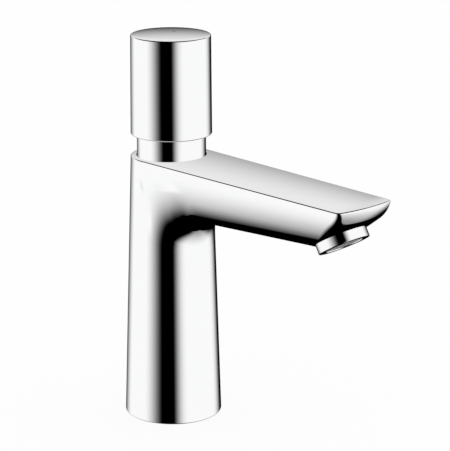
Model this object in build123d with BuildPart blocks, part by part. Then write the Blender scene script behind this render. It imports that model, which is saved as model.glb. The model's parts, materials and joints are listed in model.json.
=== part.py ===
"""Push timed tap: a basin tap with a round knob that is pushed down to start the water.

The origin is the centre of the base, on the basin's surface. The spout points along +X
and the column rises along +Z. Millimetres.
"""
from build123d import *
from math import asin, atan2, cos, degrees, hypot, radians, sin, sqrt, tan
import os

# Fits
slip = 0.05  # radial gap round a piece that is pushed or screwed into its seat
run_gap = 0.06  # radial gap round a piece that turns or slides
face_gap = 0.05  # gap between faces that slide on each other or only meet
cut_over = 1.5  # overrun of a cut past the face that it leaves by
seal_corner_share = 0.4  # most of a seal's thickness that its rounded corners take

# Column and spout casting
base_r = 24.0
shoulder_r = 19.81
body_h = 131.2  # basin to the flat top of column and spout
reach = 131.4  # column's axis to the spout's tip
tip_half_w = 17.1
tip_bow = 2.95  # how far the front edge bulges ahead of its corners
root_depth = 30.6  # spout's depth at the column's axis
tip_depth = 22.1
nose_arc_r = 11.2
nose_turn = 50.0  # degrees of the arc, before the nose runs straight
nose_corner_r = 2.8
facet_tilt = 31.0  # degrees, rise of the flat seat under the nose
seat_back = 17.6  # from the tip back to the middle of the seat
seat_drop = 16.5  # top face down to the middle of the seat
junction_r = 8.0
foot_edge_r = 0.5
side_wall = 2.4
roof_wall = 2.2
cavity_start_x = 10.0
slab_t = 8.2  # solid metal above the aerator's seat
ledge_z = 10.0  # height of the recess in the foot
foot_wall = 2.9  # width of the foot outside the recess
neck_seat_drop = 10.2  # top face down to the step that the neck sleeve stands on

# Neck sleeve
neck_r = 16.73
neck_gap = 0.4  # shadow gap between the sleeve and the body's top
neck_wall = 1.05
neck_rise = 18.8  # above the body's top
neck_edge_r = 0.3

# Knob cap
knob_rise = 10.6  # lower edge above the body's top
knob_h = 48.4
knob_low_r = 19.71
knob_top_r = 19.3
knob_bore_gap = 0.42  # gap between the cap's wall and the neck sleeve
knob_roof = 2.8
knob_edge_r = 0.35
knob_foot_edge_r = 0.5
press_travel = 5.0

# Index mark inlaid in the knob's top
mark_r = 1.0
mark_depth = 0.5
mark_x = -2.0
mark_y = 4.0

# Function block in the column
block_r = 15.5
block_bore_gap = 0.1
flange_t = 4.0
flange_gap = 0.15
block_top_drop = 3.2
chamber_r = 12.5
chamber_floor_t = 4.5  # metal between the valves and the chamber
nut_thread_r = 13.0
nut_seat_drop = 10.2

# Inlets for the two hoses, and the fixing stud's thread
inlet_x = 3.0
inlet_y = 6.3
inlet_thread_r = 4.5
inlet_thread_l = 11.0
valve_pocket_r = 4.3
valve_pocket_l = 12.5
passage_r = 2.6
stud_x = -9.5
stud_thread_r = 3.4
stud_thread_l = 12.0

# Screws through the block's flange
screw_count = 3
screw_edge = 2.8  # from the screws' axes out to the recess's wall
screw_r = 1.5
screw_l = 10.0
screw_head_r = 2.8
screw_head_l = 1.6
screw_hole_gap = 0.1
screw_socket_r = 1.15
screw_socket_l = 1.0
screw_first_angle = 60.0

# Base ring and seal
base_ring_gap = 0.1
base_ring_w = 6.0  # from its rim in to the opening for the hoses
base_seal_edge = 1.4  # from the ring's rim in to the seal
base_seal_w = 2.4
base_seal_t = 2.2

# Filters and non-return valves
filter_t = 0.9
filter_rim = 0.7
filter_bar = 0.35
filter_pitch = 1.1
filter_bar_count = 5
valve_body_l = 11.2
valve_wall = 0.9
valve_plug_r = 2.6
valve_plug_t = 1.2
valve_stem_r = 0.7
valve_rib_t = 0.7
valve_lip_t = 1.2
valve_lip_r = 2.1

# Cartridge foot: seals, plate and ceramic discs
foot_gap = 0.2  # cartridge's foot above the chamber's floor
foot_plate_t = 2.8
foot_seal_in_r = 2.8
foot_seal_out_r = 4.0
foot_seal_t = 1.3
disc_t = 3.0
disc_r = 10.6
disc_port_r = 2.6
slot_in_r = 4.3
slot_out_r = 9.5
slot_half_angle = 65.0
key_w = 3.0
key_depth = 1.8
key_gap = 0.1
key_angles = (130.0, 230.0)

# Cartridge housing
housing_r = 12.35
housing_bore_r = 10.8
housing_top_gap = 0.1
housing_waist_r = 11.6
waist_low_drop = 17.0  # this and the next sizes are below the nut's seat
waist_high_drop = 3.4
window_low_drop = 15.5
window_high_drop = 5.5
window_w = 8.0
window_count = 4
housing_seal_drops = (21.5, 1.8)
seal_h = 1.6
seal_depth = 0.85
seal_round = 0.3

# Turning sleeve, which carries the valve and turns with the knob
turner_bore_low_r = 8.3
turner_bore_mid_r = 8.9
turner_bore_top_r = 9.3
mixing_room_share = 0.32  # share of the free length that lies under the timing cup
turner_top_drop = 4.0  # this and the next sizes are below the nut's seat
turner_window_low_drop = 16.8
turner_window_high_drop = 10.4
turner_window_w = 7.0
turner_seal_drops = (19.8, 7.6)

# Valve seat
valve_seat_drop = 22.0
valve_seat_t = 3.0
valve_seat_bore_r = 4.8
valve_lip_h = 0.6
valve_lip_w = 0.7

# Timing cup and its metering screw
cup_r = 7.6
cup_bore_r = 6.3
cup_h = 26.0
cup_floor_t = 2.0
cup_rib_w = 2.0
cup_rib_h = 8.0
cup_rib_count = 3
meter_r = 1.4
meter_head_r = 2.4
meter_head_t = 1.2
meter_tip_l = 1.2
meter_passage_r = 0.3
meter_slot_w = 0.5
meter_slot_d = 0.5

# Timing piston, its seal and the valve's washer
piston_r = 6.0
piston_rise = 15.95  # above the cup's floor, with the knob up
piston_h = 6.0
piston_stem_r = 3.4
valve_plate_r = 6.6
valve_plate_t = 2.8
washer_t = 1.5
lip_seal_h = 2.4
lip_seal_depth = 1.4
lip_seal_gap = 0.03
lip_cut = 0.7

# Return spring
spring_wire_r = 0.5
spring_mean_r = 4.6
spring_turns = 6

# Push rod
rod_r = 2.5
rod_grip_l = 10.0  # length held in the piston
rod_collar_r = 3.9
rod_collar_t = 1.4
rod_head_l = 4.0  # length held in the knob's core

# Gland, rod seal and spindle
gland_r = 5.2
gland_t = 3.0
rod_seal_t = 1.8
rod_seal_r = 4.6
plug_low_drop = 9.6
spindle_r = 6.1
spindle_bore_gap = 0.7
tooth_count = 12
tooth_w = 1.4
tooth_h = 0.6
tooth_start_drop = 1.05  # below the nut's top
tooth_gap = 0.12

# Cartridge nut
nut_lip_t = 5.0
nut_lip_gap = 0.15
nut_bore_r = 10.0
nut_head_gap = 0.25
nut_head_t = 6.0
nut_slot_w = 3.0
nut_slot_d = 2.0
neck_seal_h = 1.6
neck_seal_depth = 0.8

# Limit ring and stop finger
turn_half_range = 60.0  # degrees to either side of the mixed position
limit_ring_t = 3.6
limit_ring_w = 2.6
limit_stop_r = 8.4
limit_spigot_l = 2.5
limit_spigot_w = 1.1
finger_w = 3.0
finger_hub_w = 1.6
finger_t = 2.8
finger_tip_gap = 0.5
finger_stop_gap = 1.5  # degrees left between finger and stop at the end of the turn

# Knob core
core_room = 1.5  # over the neck sleeve with the knob pushed home
core_gap = 0.1
core_rim_t = 1.8
core_plate_t = 3.0
core_hub_r = 9.2
core_rib_t = 1.6
core_rib_count = 6
core_boss_w = 7.0
rod_end_room = 1.0  # clear height over the spindle with the knob pushed home
rod_cover_t = 2.35  # core's roof over the rod's end

# Glide ring in the knob's rim
glide_rise = 2.2  # above the knob's lower edge
glide_h = 3.6
glide_seat_depth = 0.8
glide_side_gap = 0.1

# Grub screw and its plug, at the back of the knob
grub_rise = 6.5  # above the core's lower edge
grub_r = 2.0
grub_l = 5.0
grub_socket_r = 1.0
grub_socket_l = 2.0
plug_t = 1.1
plug_sink = 0.15

# Hose along the spout
port_drop = 20.2  # below the body's top
port_r = 5.0
hose_r = 5.0
hose_bore_r = 3.7
hose_end_back = 27.4  # back from the tip
hose_end_drop = 8.3
nozzle_collar_r = 6.0
nozzle_collar_t = 1.5
nozzle_inset = 0.3
barb_l = 8.0
water_r = 2.6
nozzle_seal_h = 1.4
nozzle_seal_depth = 0.75
elbow_tail_back = 23.4
elbow_shoulder_back = 34.4
elbow_r = 5.0
elbow_bore_r = 3.6
elbow_wall = 1.2
elbow_head_r = 8.6
elbow_head_h = 2.6
elbow_spigot_r = 7.0
elbow_chamber_r = 5.8
elbow_seal_w = 1.0
elbow_seal_h = 0.7

# Aerator
aerator_r = 12.1
aerator_h = 4.66
aerator_thread_r = 11.0
aerator_thread_l = 5.0
aerator_bore_r = 9.3
aerator_mouth_r = 8.9
aerator_lip_t = 0.8
aerator_edge_r = 0.25
socket_l = 6.6
washer_in_r = 8.3
washer_out_r = 10.8
aerator_washer_t = 1.45
grille_t = 1.6
grille_sink = 0.4
grille_hole_r = 0.62
grille_pitch = 1.7
grille_rim = 0.6
core_wall_t = 1.2
mixer_plate_t = 1.4
mixer_l = 5.6
mixer_well = 2.2
mixer_hole_r = 0.7
mixer_hole_ring_r = 4.8
mixer_hole_count = 12
regulator_t = 1.9
regulator_hub_r = 3.2
regulator_hub_h = 0.9
regulator_hole_r = 0.9
regulator_hole_ring_r = 5.8
regulator_hole_count = 8

# Places worked out from the sizes above
bore_r = block_r + block_bore_gap
recess_r = base_r - foot_wall
screw_ring_r = recess_r - screw_edge
base_ring_r = recess_r - base_ring_gap
base_ring_bore_r = base_ring_r - base_ring_w
base_seal_out_r = base_ring_r - base_seal_edge
base_seal_in_r = base_seal_out_r - base_seal_w
neck_bore_r = neck_r + neck_gap
neck_in_r = neck_r - neck_wall
neck_seat_z = body_h - neck_seat_drop
neck_top_z = body_h + neck_rise
knob_low_z = body_h + knob_rise
knob_top_z = knob_low_z + knob_h
knob_bore_r = neck_r + knob_bore_gap
knob_bore_top_z = knob_top_z - knob_roof
flange_r = recess_r - flange_gap
flange_low_z = ledge_z - flange_t
flange_top_z = ledge_z - face_gap
block_top_z = body_h - block_top_drop
valve_pocket_z = flange_low_z + inlet_thread_l
filter_z = valve_pocket_z + face_gap
valve_low_z = filter_z + filter_t + face_gap
chamber_floor_z = valve_pocket_z + valve_pocket_l + chamber_floor_t
foot_z = chamber_floor_z + foot_gap
foot_plate_z = foot_z + foot_plate_t
fixed_disc_z = foot_plate_z + face_gap
turning_disc_z = fixed_disc_z + disc_t + face_gap
turner_low_z = turning_disc_z + disc_t + face_gap
turner_r = housing_bore_r - run_gap
nut_seat_z = body_h - nut_seat_drop
housing_top_z = nut_seat_z - housing_top_gap
waist_low_z = nut_seat_z - waist_low_drop
waist_high_z = nut_seat_z - waist_high_drop
window_low_z = nut_seat_z - window_low_drop
window_high_z = nut_seat_z - window_high_drop
housing_seal_zs = [nut_seat_z - drop for drop in housing_seal_drops]
turner_top_z = nut_seat_z - turner_top_drop
turner_window_low_z = nut_seat_z - turner_window_low_drop
turner_window_high_z = nut_seat_z - turner_window_high_drop
turner_seal_zs = [nut_seat_z - drop for drop in turner_seal_drops]
plug_low_z = nut_seat_z - plug_low_drop
valve_seat_z = nut_seat_z - valve_seat_drop
valve_lip_z = valve_seat_z + face_gap - valve_lip_h
washer_top_z = valve_lip_z - face_gap
valve_plate_z = washer_top_z - washer_t
piston_top_z = valve_plate_z - face_gap
meter_room_z = turner_low_z + meter_head_t + 2 * face_gap
free_l = piston_top_z - valve_plate_t - meter_room_z - cup_h
cup_ledge_z = meter_room_z + mixing_room_share * free_l
cup_low_z = cup_ledge_z + face_gap
cup_floor_z = cup_low_z + cup_floor_t
piston_low_z = cup_floor_z + piston_rise
spindle_flange_z = turner_top_z + face_gap
spindle_flange_top_z = housing_top_z - face_gap
spindle_bore_r = rod_r + spindle_bore_gap
tooth_r = spindle_r + tooth_h
nut_head_z = block_top_z + face_gap
nut_top_z = nut_head_z + nut_head_t
nut_head_r = neck_in_r - nut_head_gap
tooth_low_z = nut_top_z - tooth_start_drop
limit_low_z = nut_top_z + face_gap
finger_low_z = limit_low_z + (limit_ring_t - finger_t) / 2
core_r = knob_bore_r - core_gap
core_top_z = knob_bore_top_z - face_gap
core_plate_z = core_top_z - core_plate_t
core_low_z = neck_top_z + press_travel + core_room
rod_top_z = core_plate_z - rod_cover_t
hub_roof_z = rod_top_z - rod_head_l
spindle_top_z = hub_roof_z - press_travel - rod_end_room
glide_low_z = knob_low_z + glide_rise
grub_z = core_low_z + grub_rise
bow_r = (tip_half_w**2 + tip_bow**2) / (2 * tip_bow)
bow_x = reach - bow_r
seat_x = reach - seat_back
port_z = body_h - port_drop
hose_end_x = reach - hose_end_back
hose_end_z = body_h - hose_end_drop

# Planes of the aerator's seat and of the hose
tilt = radians(facet_tilt)
seat = Plane(
    origin=(seat_x, 0, body_h - seat_drop),
    x_dir=(cos(tilt), 0, sin(tilt)),
    z_dir=(-sin(tilt), 0, cos(tilt)),
)
hose_rise = atan2(hose_end_z - port_z, hose_end_x - block_r)
port = Plane(
    origin=(block_r, 0, port_z),
    x_dir=(-sin(hose_rise), 0, cos(hose_rise)),
    z_dir=(cos(hose_rise), 0, sin(hose_rise)),
)
elbow_shoulder = (reach - elbow_shoulder_back - block_r) / cos(hose_rise)
elbow_tail = (reach - elbow_tail_back - block_r) / cos(hose_rise)

# Plane of the screw at the back of the knob, and where the screw starts
back = Plane(origin=(0, 0, grub_z), x_dir=(0, 1, 0), z_dir=(-1, 0, 0))
cap_r_at_grub = knob_low_r + (knob_top_r - knob_low_r) * (grub_z - knob_low_z) / knob_h
grub_in_r = cap_r_at_grub - plug_sink - plug_t - face_gap - grub_l


def half_width(x):
    """Half the spout's width at a distance along it."""
    return shoulder_r + (tip_half_w - shoulder_r) * x / (reach - tip_bow)


def depth(x):
    """The spout's depth below its flat top at a distance along it."""
    return root_depth + (tip_depth - root_depth) * x / reach


def spout_section(x, side=0.0, roof=0.0):
    """Half ellipse with its flat side up, drawn in by a side wall and a roof."""
    across = half_width(x) - side
    down = depth(x) - side - roof
    with BuildSketch(Plane(origin=(x, 0, body_h - roof), x_dir=(0, 1, 0), z_dir=(1, 0, 0))) as section:
        with BuildLine():
            Line((-across, 0), (across, 0))
            EllipticalCenterArc((0, 0), across, down, start_angle=180, arc_size=180)
        make_face()
    return section.sketch


def outline(*points, on=Plane.XY):
    """Closed face through (radius, height) points, upright on a plane."""
    with BuildSketch(Plane(origin=on.origin, x_dir=on.x_dir, z_dir=-on.y_dir)) as face:
        with BuildLine():
            Polyline(*points, close=True)
        make_face()
    return face.sketch


def ring(inner, outer, low, high, on=Plane.XY):
    """Section of a ring between two radii and two heights."""
    return outline((inner, low), (outer, low), (outer, high), (inner, high), on=on)


def soft_ring(inner, outer, low, high, on=Plane.XY):
    """Section of a rubber ring, with its corners rounded."""
    middle = ((inner + outer) / 2, (low + high) / 2)
    round_r = min(seal_round, seal_corner_share * min(outer - inner, high - low))
    with BuildSketch(Plane(origin=on.origin, x_dir=on.x_dir, z_dir=-on.y_dir)) as face:
        with Locations(middle):
            RectangleRounded(outer - inner, high - low, round_r)
    return face.sketch


def axis_of(plane):
    """The line through a plane's origin, square to it."""
    return Axis(plane.origin, plane.z_dir)


def key_shape(inner, outer, width, angle):
    """Bar between two radii, pointing away from the axis at an angle in degrees."""
    with BuildSketch(Plane.XY.rotated((0, 0, angle))) as bar:
        with Locations(((inner + outer) / 2, 0)):
            Rectangle(outer - inner, width)
    return bar.sketch


def sector(inner, outer, first, turn):
    """Part of a flat ring, from a first angle through a turn, in degrees."""
    with BuildSketch() as face:
        with BuildLine():
            inside = CenterArc((0, 0), inner, first, turn)
            outside = CenterArc((0, 0), outer, first, turn)
            Line(inside @ 0, outside @ 0)
            Line(inside @ 1, outside @ 1)
        make_face()
    return face.sketch


def toothed(gap):
    """The spindle's toothed outline, grown by a gap."""
    with BuildSketch() as face:
        Circle(spindle_r + gap)
        for tooth in range(tooth_count):
            add(key_shape(0, tooth_r + gap, tooth_w + 2 * gap, tooth * 360 / tooth_count))
    return face.sketch


def hex_points(pitch, limit):
    """Centres of a honeycomb pattern inside a circle."""
    rows = range(-int(2 * limit / pitch), int(2 * limit / pitch) + 1)
    places = [((column + row / 2) * pitch, row * pitch * sqrt(3) / 2) for row in rows for column in rows]
    return [place for place in places if hypot(*place) < limit]


# The spout's outside: a tapering half ellipse with a bowed nose and a flat seat below it
with BuildSketch(Plane.XZ) as nose_side:
    with BuildLine():
        front = CenterArc((reach - nose_arc_r, body_h), nose_arc_r, 0, -nose_turn)
        chin = PolarLine(front @ 1, root_depth, direction=front % 1)
        Polyline(chin @ 1, (bow_x, (chin @ 1).Y), (bow_x, body_h), (reach, body_h))
    make_face()

with BuildPart() as nose_limit:
    revolve(nose_side.sketch, axis=Axis((bow_x, 0, 0), (0, 0, 1)))
    with BuildSketch(Plane.XY.offset(body_h)):
        with Locations((bow_x, 0)):
            Rectangle(2 * reach, 4 * shoulder_r, align=(Align.MAX, Align.CENTER))
    extrude(amount=-2 * root_depth)

with BuildPart() as spout:
    loft(sections=[spout_section(0), spout_section(reach + tip_bow)], ruled=True)
    add(nose_limit.part, mode=Mode.INTERSECT)
    split(bisect_by=seat, keep=Keep.TOP)
    nose_corners = [
        edge
        for edge in spout.edges()
        if edge.center().X > seat_x and abs(edge.center().Y) > tip_half_w / 2 and abs(edge.tangent_at(0.5).Z) > 0.5
    ]
    fillet(nose_corners, radius=nose_corner_r)

# The hollow in the spout, over the solid metal round the aerator
with BuildPart() as spout_hollow:
    loft(
        sections=[
            spout_section(cavity_start_x, side_wall, roof_wall),
            spout_section(reach, side_wall, roof_wall),
        ],
        ruled=True,
    )
    split(bisect_by=seat.offset(slab_t), keep=Keep.TOP)

# Column and spout, one chromed casting
with BuildPart() as body_shell:
    add(spout.part)
    revolve(outline((0, 0), (-base_r, 0), (-shoulder_r, body_h), (0, body_h)), axis=Axis.Z)
    junction = [
        edge
        for edge in body_shell.edges().filter_by(GeomType.BSPLINE)
        if 0 < edge.center().X < base_r and edge.center().Z < body_h - tip_depth
    ]
    fillet(junction, radius=junction_r)
    fillet(body_shell.edges().filter_by(GeomType.CIRCLE).sort_by(Axis.Z)[0], radius=foot_edge_r)
    revolve(
        outline(
            (0, -cut_over),
            (recess_r, -cut_over),
            (recess_r, ledge_z),
            (bore_r, ledge_z),
            (bore_r, neck_seat_z),
            (neck_bore_r, neck_seat_z),
            (neck_bore_r, body_h + cut_over),
            (0, body_h + cut_over),
        ),
        axis=Axis.Z,
        mode=Mode.SUBTRACT,
    )
    add(spout_hollow.part, mode=Mode.SUBTRACT)
    revolve(
        outline(
            (0, -cut_over),
            (aerator_thread_r + slip, -cut_over),
            (aerator_thread_r + slip, socket_l),
            (elbow_spigot_r + slip, socket_l),
            (elbow_spigot_r + slip, slab_t + cut_over),
            (0, slab_t + cut_over),
            on=seat,
        ),
        axis=axis_of(seat),
        mode=Mode.SUBTRACT,
    )
    with BuildSketch(Plane.XY.offset(ledge_z)):
        with PolarLocations(screw_ring_r, screw_count, screw_first_angle):
            Circle(screw_r + slip)
    extrude(amount=screw_l - flange_t + cut_over, mode=Mode.SUBTRACT)
body_shell.part.label = "body_shell"

# Fixed sleeve round the neck, which the knob slides over
with BuildPart() as neck_sleeve:
    revolve(ring(neck_in_r, neck_r, neck_seat_z + face_gap, neck_top_z), axis=Axis.Z)
    fillet(neck_sleeve.edges().filter_by(GeomType.CIRCLE).sort_by(Axis.Z)[-2:], radius=neck_edge_r)
neck_sleeve.part.label = "neck_sleeve"

# The knob's cap: a cup with its mouth down, slightly narrower at the top
with BuildPart() as knob_cap:
    revolve(
        outline((0, knob_low_z), (knob_low_r, knob_low_z), (knob_top_r, knob_top_z), (0, knob_top_z)),
        axis=Axis.Z,
    )
    rims = knob_cap.edges().filter_by(GeomType.CIRCLE).sort_by(Axis.Z)
    fillet(rims[0], radius=knob_foot_edge_r)
    fillet(rims[-1], radius=knob_edge_r)
    revolve(
        outline(
            (0, knob_low_z - cut_over),
            (knob_bore_r, knob_low_z - cut_over),
            (knob_bore_r, glide_low_z - glide_side_gap),
            (knob_bore_r + glide_seat_depth, glide_low_z - glide_side_gap),
            (knob_bore_r + glide_seat_depth, glide_low_z + glide_h + glide_side_gap),
            (knob_bore_r, glide_low_z + glide_h + glide_side_gap),
            (knob_bore_r, knob_bore_top_z),
            (0, knob_bore_top_z),
        ),
        axis=Axis.Z,
        mode=Mode.SUBTRACT,
    )
    with BuildSketch(Plane.XY.offset(knob_top_z - mark_depth)):
        with Locations((mark_x, mark_y)):
            Circle(mark_r + slip)
    extrude(amount=mark_depth + cut_over, mode=Mode.SUBTRACT)
    with BuildSketch(back):
        Circle(grub_r + slip)
    extrude(amount=knob_low_r + cut_over, mode=Mode.SUBTRACT)
knob_cap.part.label = "knob_cap"

# Small round mark let into the knob's top
with BuildPart() as index_mark:
    with BuildSketch(Plane.XY.offset(knob_top_z - mark_depth + face_gap)):
        with Locations((mark_x, mark_y)):
            Circle(mark_r)
    extrude(amount=mark_depth - face_gap)
index_mark.part.label = "index_mark"

# Waterway block: flange below, chamber for the cartridge above, port to the spout
with BuildPart() as function_block:
    revolve(
        outline(
            (0, flange_low_z),
            (flange_r, flange_low_z),
            (flange_r, flange_top_z),
            (block_r, flange_top_z),
            (block_r, block_top_z),
            (nut_thread_r, block_top_z),
            (nut_thread_r, nut_seat_z),
            (chamber_r, nut_seat_z),
            (chamber_r, chamber_floor_z),
            (0, chamber_floor_z),
        ),
        axis=Axis.Z,
    )
    for side in (-1, 1):
        with BuildSketch(Plane.XY.offset(flange_low_z)):
            with Locations((inlet_x, side * inlet_y)):
                Circle(inlet_thread_r)
        extrude(amount=inlet_thread_l, mode=Mode.SUBTRACT)
        with BuildSketch(Plane.XY.offset(valve_pocket_z)):
            with Locations((inlet_x, side * inlet_y)):
                Circle(valve_pocket_r)
        extrude(amount=valve_pocket_l, mode=Mode.SUBTRACT)
        with BuildSketch(Plane.XY.offset(valve_pocket_z + valve_pocket_l)):
            with Locations((inlet_x, side * inlet_y)):
                Circle(passage_r)
        extrude(amount=chamber_floor_z - valve_pocket_z, mode=Mode.SUBTRACT)
    with BuildSketch(Plane.XY.offset(flange_low_z)):
        with Locations((stud_x, 0)):
            Circle(stud_thread_r)
    extrude(amount=stud_thread_l, mode=Mode.SUBTRACT)
    with BuildSketch(Plane.XY.offset(flange_low_z)):
        with PolarLocations(screw_ring_r, screw_count, screw_first_angle):
            Circle(screw_head_r + screw_hole_gap)
    extrude(amount=screw_head_l + screw_hole_gap, mode=Mode.SUBTRACT)
    with BuildSketch(Plane.XY.offset(flange_low_z)):
        with PolarLocations(screw_ring_r, screw_count, screw_first_angle):
            Circle(screw_r + screw_hole_gap)
    extrude(amount=flange_t + cut_over, mode=Mode.SUBTRACT)
    with BuildSketch(port.offset(chamber_r - block_r - cut_over)):
        Circle(port_r + slip)
    extrude(amount=block_r - chamber_r + 2 * cut_over, mode=Mode.SUBTRACT)
function_block.part.label = "function_block"

# Screws from below, through the flange into the casting
with BuildPart() as one_screw:
    head_z = flange_low_z + screw_hole_gap / 2
    revolve(
        outline(
            (0, head_z),
            (screw_head_r, head_z),
            (screw_head_r, head_z + screw_head_l),
            (screw_r, head_z + screw_head_l),
            (screw_r, head_z + screw_l),
            (0, head_z + screw_l),
        ),
        axis=Axis.Z,
    )
    with BuildSketch(Plane.XY.offset(head_z)):
        RegularPolygon(screw_socket_r, 6)
    extrude(amount=screw_socket_l, mode=Mode.SUBTRACT)

with BuildPart() as block_screws:
    with PolarLocations(screw_ring_r, screw_count, screw_first_angle):
        add(one_screw.part)
block_screws.part.label = "block_screws"

# Moulded ring that closes the foot round the hoses
with BuildPart() as base_ring:
    revolve(
        outline(
            (base_ring_bore_r, 0),
            (base_seal_in_r - slip, 0),
            (base_seal_in_r - slip, base_seal_t + slip),
            (base_seal_out_r + slip, base_seal_t + slip),
            (base_seal_out_r + slip, 0),
            (base_ring_r, 0),
            (base_ring_r, flange_low_z - face_gap),
            (base_ring_bore_r, flange_low_z - face_gap),
        ),
        axis=Axis.Z,
    )
base_ring.part.label = "base_ring"

# Rubber ring that seals the foot to the basin
with BuildPart() as base_seal:
    revolve(soft_ring(base_seal_in_r, base_seal_out_r, 0, base_seal_t), axis=Axis.Z)
base_seal.part.label = "base_seal"

# Mesh filter in each inlet
filter_r = valve_pocket_r - slip
with BuildPart() as inlet_filters:
    for side in (-1, 1):
        with BuildSketch(Plane.XY.offset(filter_z)):
            with Locations((inlet_x, side * inlet_y)):
                Circle(filter_r)
                Circle(filter_r - filter_rim, mode=Mode.SUBTRACT)
            with Locations((inlet_x, side * inlet_y)):
                with GridLocations(filter_pitch, 0, filter_bar_count, 1):
                    Rectangle(filter_bar, 2 * (filter_r - filter_rim / 2))
                with GridLocations(0, filter_pitch, 1, filter_bar_count):
                    Rectangle(2 * (filter_r - filter_rim / 2), filter_bar)
            with Locations((inlet_x, side * inlet_y)):
                Circle(filter_r, mode=Mode.INTERSECT)
        extrude(amount=filter_t)
inlet_filters.part.label = "inlet_filters"

# Non-return valve in each inlet: a tube with a lip below and a plug on a stem
valve_r = valve_pocket_r - slip
valve_bore_r = valve_r - valve_wall
valve_plug_z = valve_low_z + valve_lip_t + face_gap
valve_top_z = valve_low_z + valve_body_l
with BuildPart() as one_valve:
    revolve(
        outline(
            (valve_lip_r, valve_low_z),
            (valve_r, valve_low_z),
            (valve_r, valve_top_z),
            (valve_bore_r, valve_top_z),
            (valve_bore_r, valve_low_z + valve_lip_t),
            (valve_lip_r, valve_low_z + valve_lip_t),
        ),
        axis=Axis.Z,
    )
    revolve(ring(0, valve_plug_r, valve_plug_z, valve_plug_z + valve_plug_t), axis=Axis.Z)
    revolve(ring(0, valve_stem_r, valve_plug_z, valve_top_z), axis=Axis.Z)
    with BuildSketch(Plane.XY.offset(valve_top_z)):
        Rectangle(2 * valve_bore_r + valve_wall, valve_rib_t)
        Rectangle(valve_rib_t, 2 * valve_bore_r + valve_wall)
    extrude(amount=-2 * valve_rib_t)

with BuildPart() as check_valves:
    with Locations((inlet_x, -inlet_y), (inlet_x, inlet_y)):
        add(one_valve.part)
check_valves.part.label = "check_valves"

# Ring seals under the cartridge, one round each passage
with BuildPart() as cartridge_seals:
    for side in (-1, 1):
        passage = Plane(origin=(inlet_x, side * inlet_y, 0))
        seal_face = soft_ring(
            foot_seal_in_r, foot_seal_out_r, chamber_floor_z, chamber_floor_z + foot_seal_t, on=passage
        )
        revolve(seal_face, axis=axis_of(passage))
cartridge_seals.part.label = "cartridge_seals"

# Cartridge housing: a tube with a floor, keys for the fixed disc and outlet windows
key_in_r = disc_r - key_depth
with BuildPart() as cartridge_housing:
    revolve(
        outline(
            (0, foot_z),
            (housing_r, foot_z),
            (housing_r, waist_low_z),
            (housing_waist_r, waist_low_z),
            (housing_waist_r, waist_high_z),
            (housing_r, waist_high_z),
            (housing_r, housing_top_z),
            (housing_bore_r, housing_top_z),
            (housing_bore_r, foot_plate_z),
            (0, foot_plate_z),
        ),
        axis=Axis.Z,
    )
    with BuildSketch(Plane.XY.offset(foot_plate_z)):
        for angle in key_angles:
            add(key_shape(key_in_r + key_gap, housing_bore_r + slip, key_w - 2 * key_gap, angle))
    extrude(amount=disc_t)
    for middle in housing_seal_zs:
        revolve(
            ring(housing_r - seal_depth, housing_r + cut_over, middle - seal_h / 2, middle + seal_h / 2),
            axis=Axis.Z,
            mode=Mode.SUBTRACT,
        )
    with BuildSketch(Plane.XY.offset(window_low_z)):
        for angle in range(0, 180, 360 // window_count):
            Rectangle(4 * housing_r, window_w, rotation=angle)
    extrude(amount=window_high_z - window_low_z, mode=Mode.SUBTRACT)
    with BuildSketch(Plane.XY.offset(foot_z)):
        with Locations((inlet_x, -inlet_y), (inlet_x, inlet_y)):
            Circle(disc_port_r)
    extrude(amount=foot_plate_t, mode=Mode.SUBTRACT)
    with BuildSketch(Plane.XY.offset(foot_z)):
        with Locations((inlet_x, -inlet_y), (inlet_x, inlet_y)):
            Circle(foot_seal_out_r + slip)
    extrude(amount=foot_seal_t - foot_gap + slip, mode=Mode.SUBTRACT)
cartridge_housing.part.label = "cartridge_housing"

# Rings that seal the housing in the chamber, below and above the windows
with BuildPart() as housing_o_rings:
    for middle in housing_seal_zs:
        low, high = middle - seal_h / 2 + slip, middle + seal_h / 2 - slip
        revolve(soft_ring(housing_r - seal_depth + slip, chamber_r - slip, low, high), axis=Axis.Z)
housing_o_rings.part.label = "housing_o_rings"

# Ceramic disc that stays still, with the hot and the cold port
with BuildPart() as fixed_disc:
    with BuildSketch(Plane.XY.offset(fixed_disc_z)):
        Circle(disc_r)
        with Locations((inlet_x, -inlet_y), (inlet_x, inlet_y)):
            Circle(disc_port_r, mode=Mode.SUBTRACT)
        for angle in key_angles:
            add(key_shape(key_in_r, disc_r + cut_over, key_w, angle), mode=Mode.SUBTRACT)
    extrude(amount=disc_t)
fixed_disc.part.label = "fixed_disc"

# Ceramic disc that turns with the knob, with one curved opening over both ports
with BuildPart() as turning_disc:
    with BuildSketch(Plane.XY.offset(turning_disc_z)):
        Circle(disc_r)
        add(sector(slot_in_r, slot_out_r, -slot_half_angle, 2 * slot_half_angle), mode=Mode.SUBTRACT)
        for angle in key_angles:
            add(key_shape(key_in_r, disc_r + cut_over, key_w, angle), mode=Mode.SUBTRACT)
    extrude(amount=disc_t)
turning_disc.part.label = "turning_disc"

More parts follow.
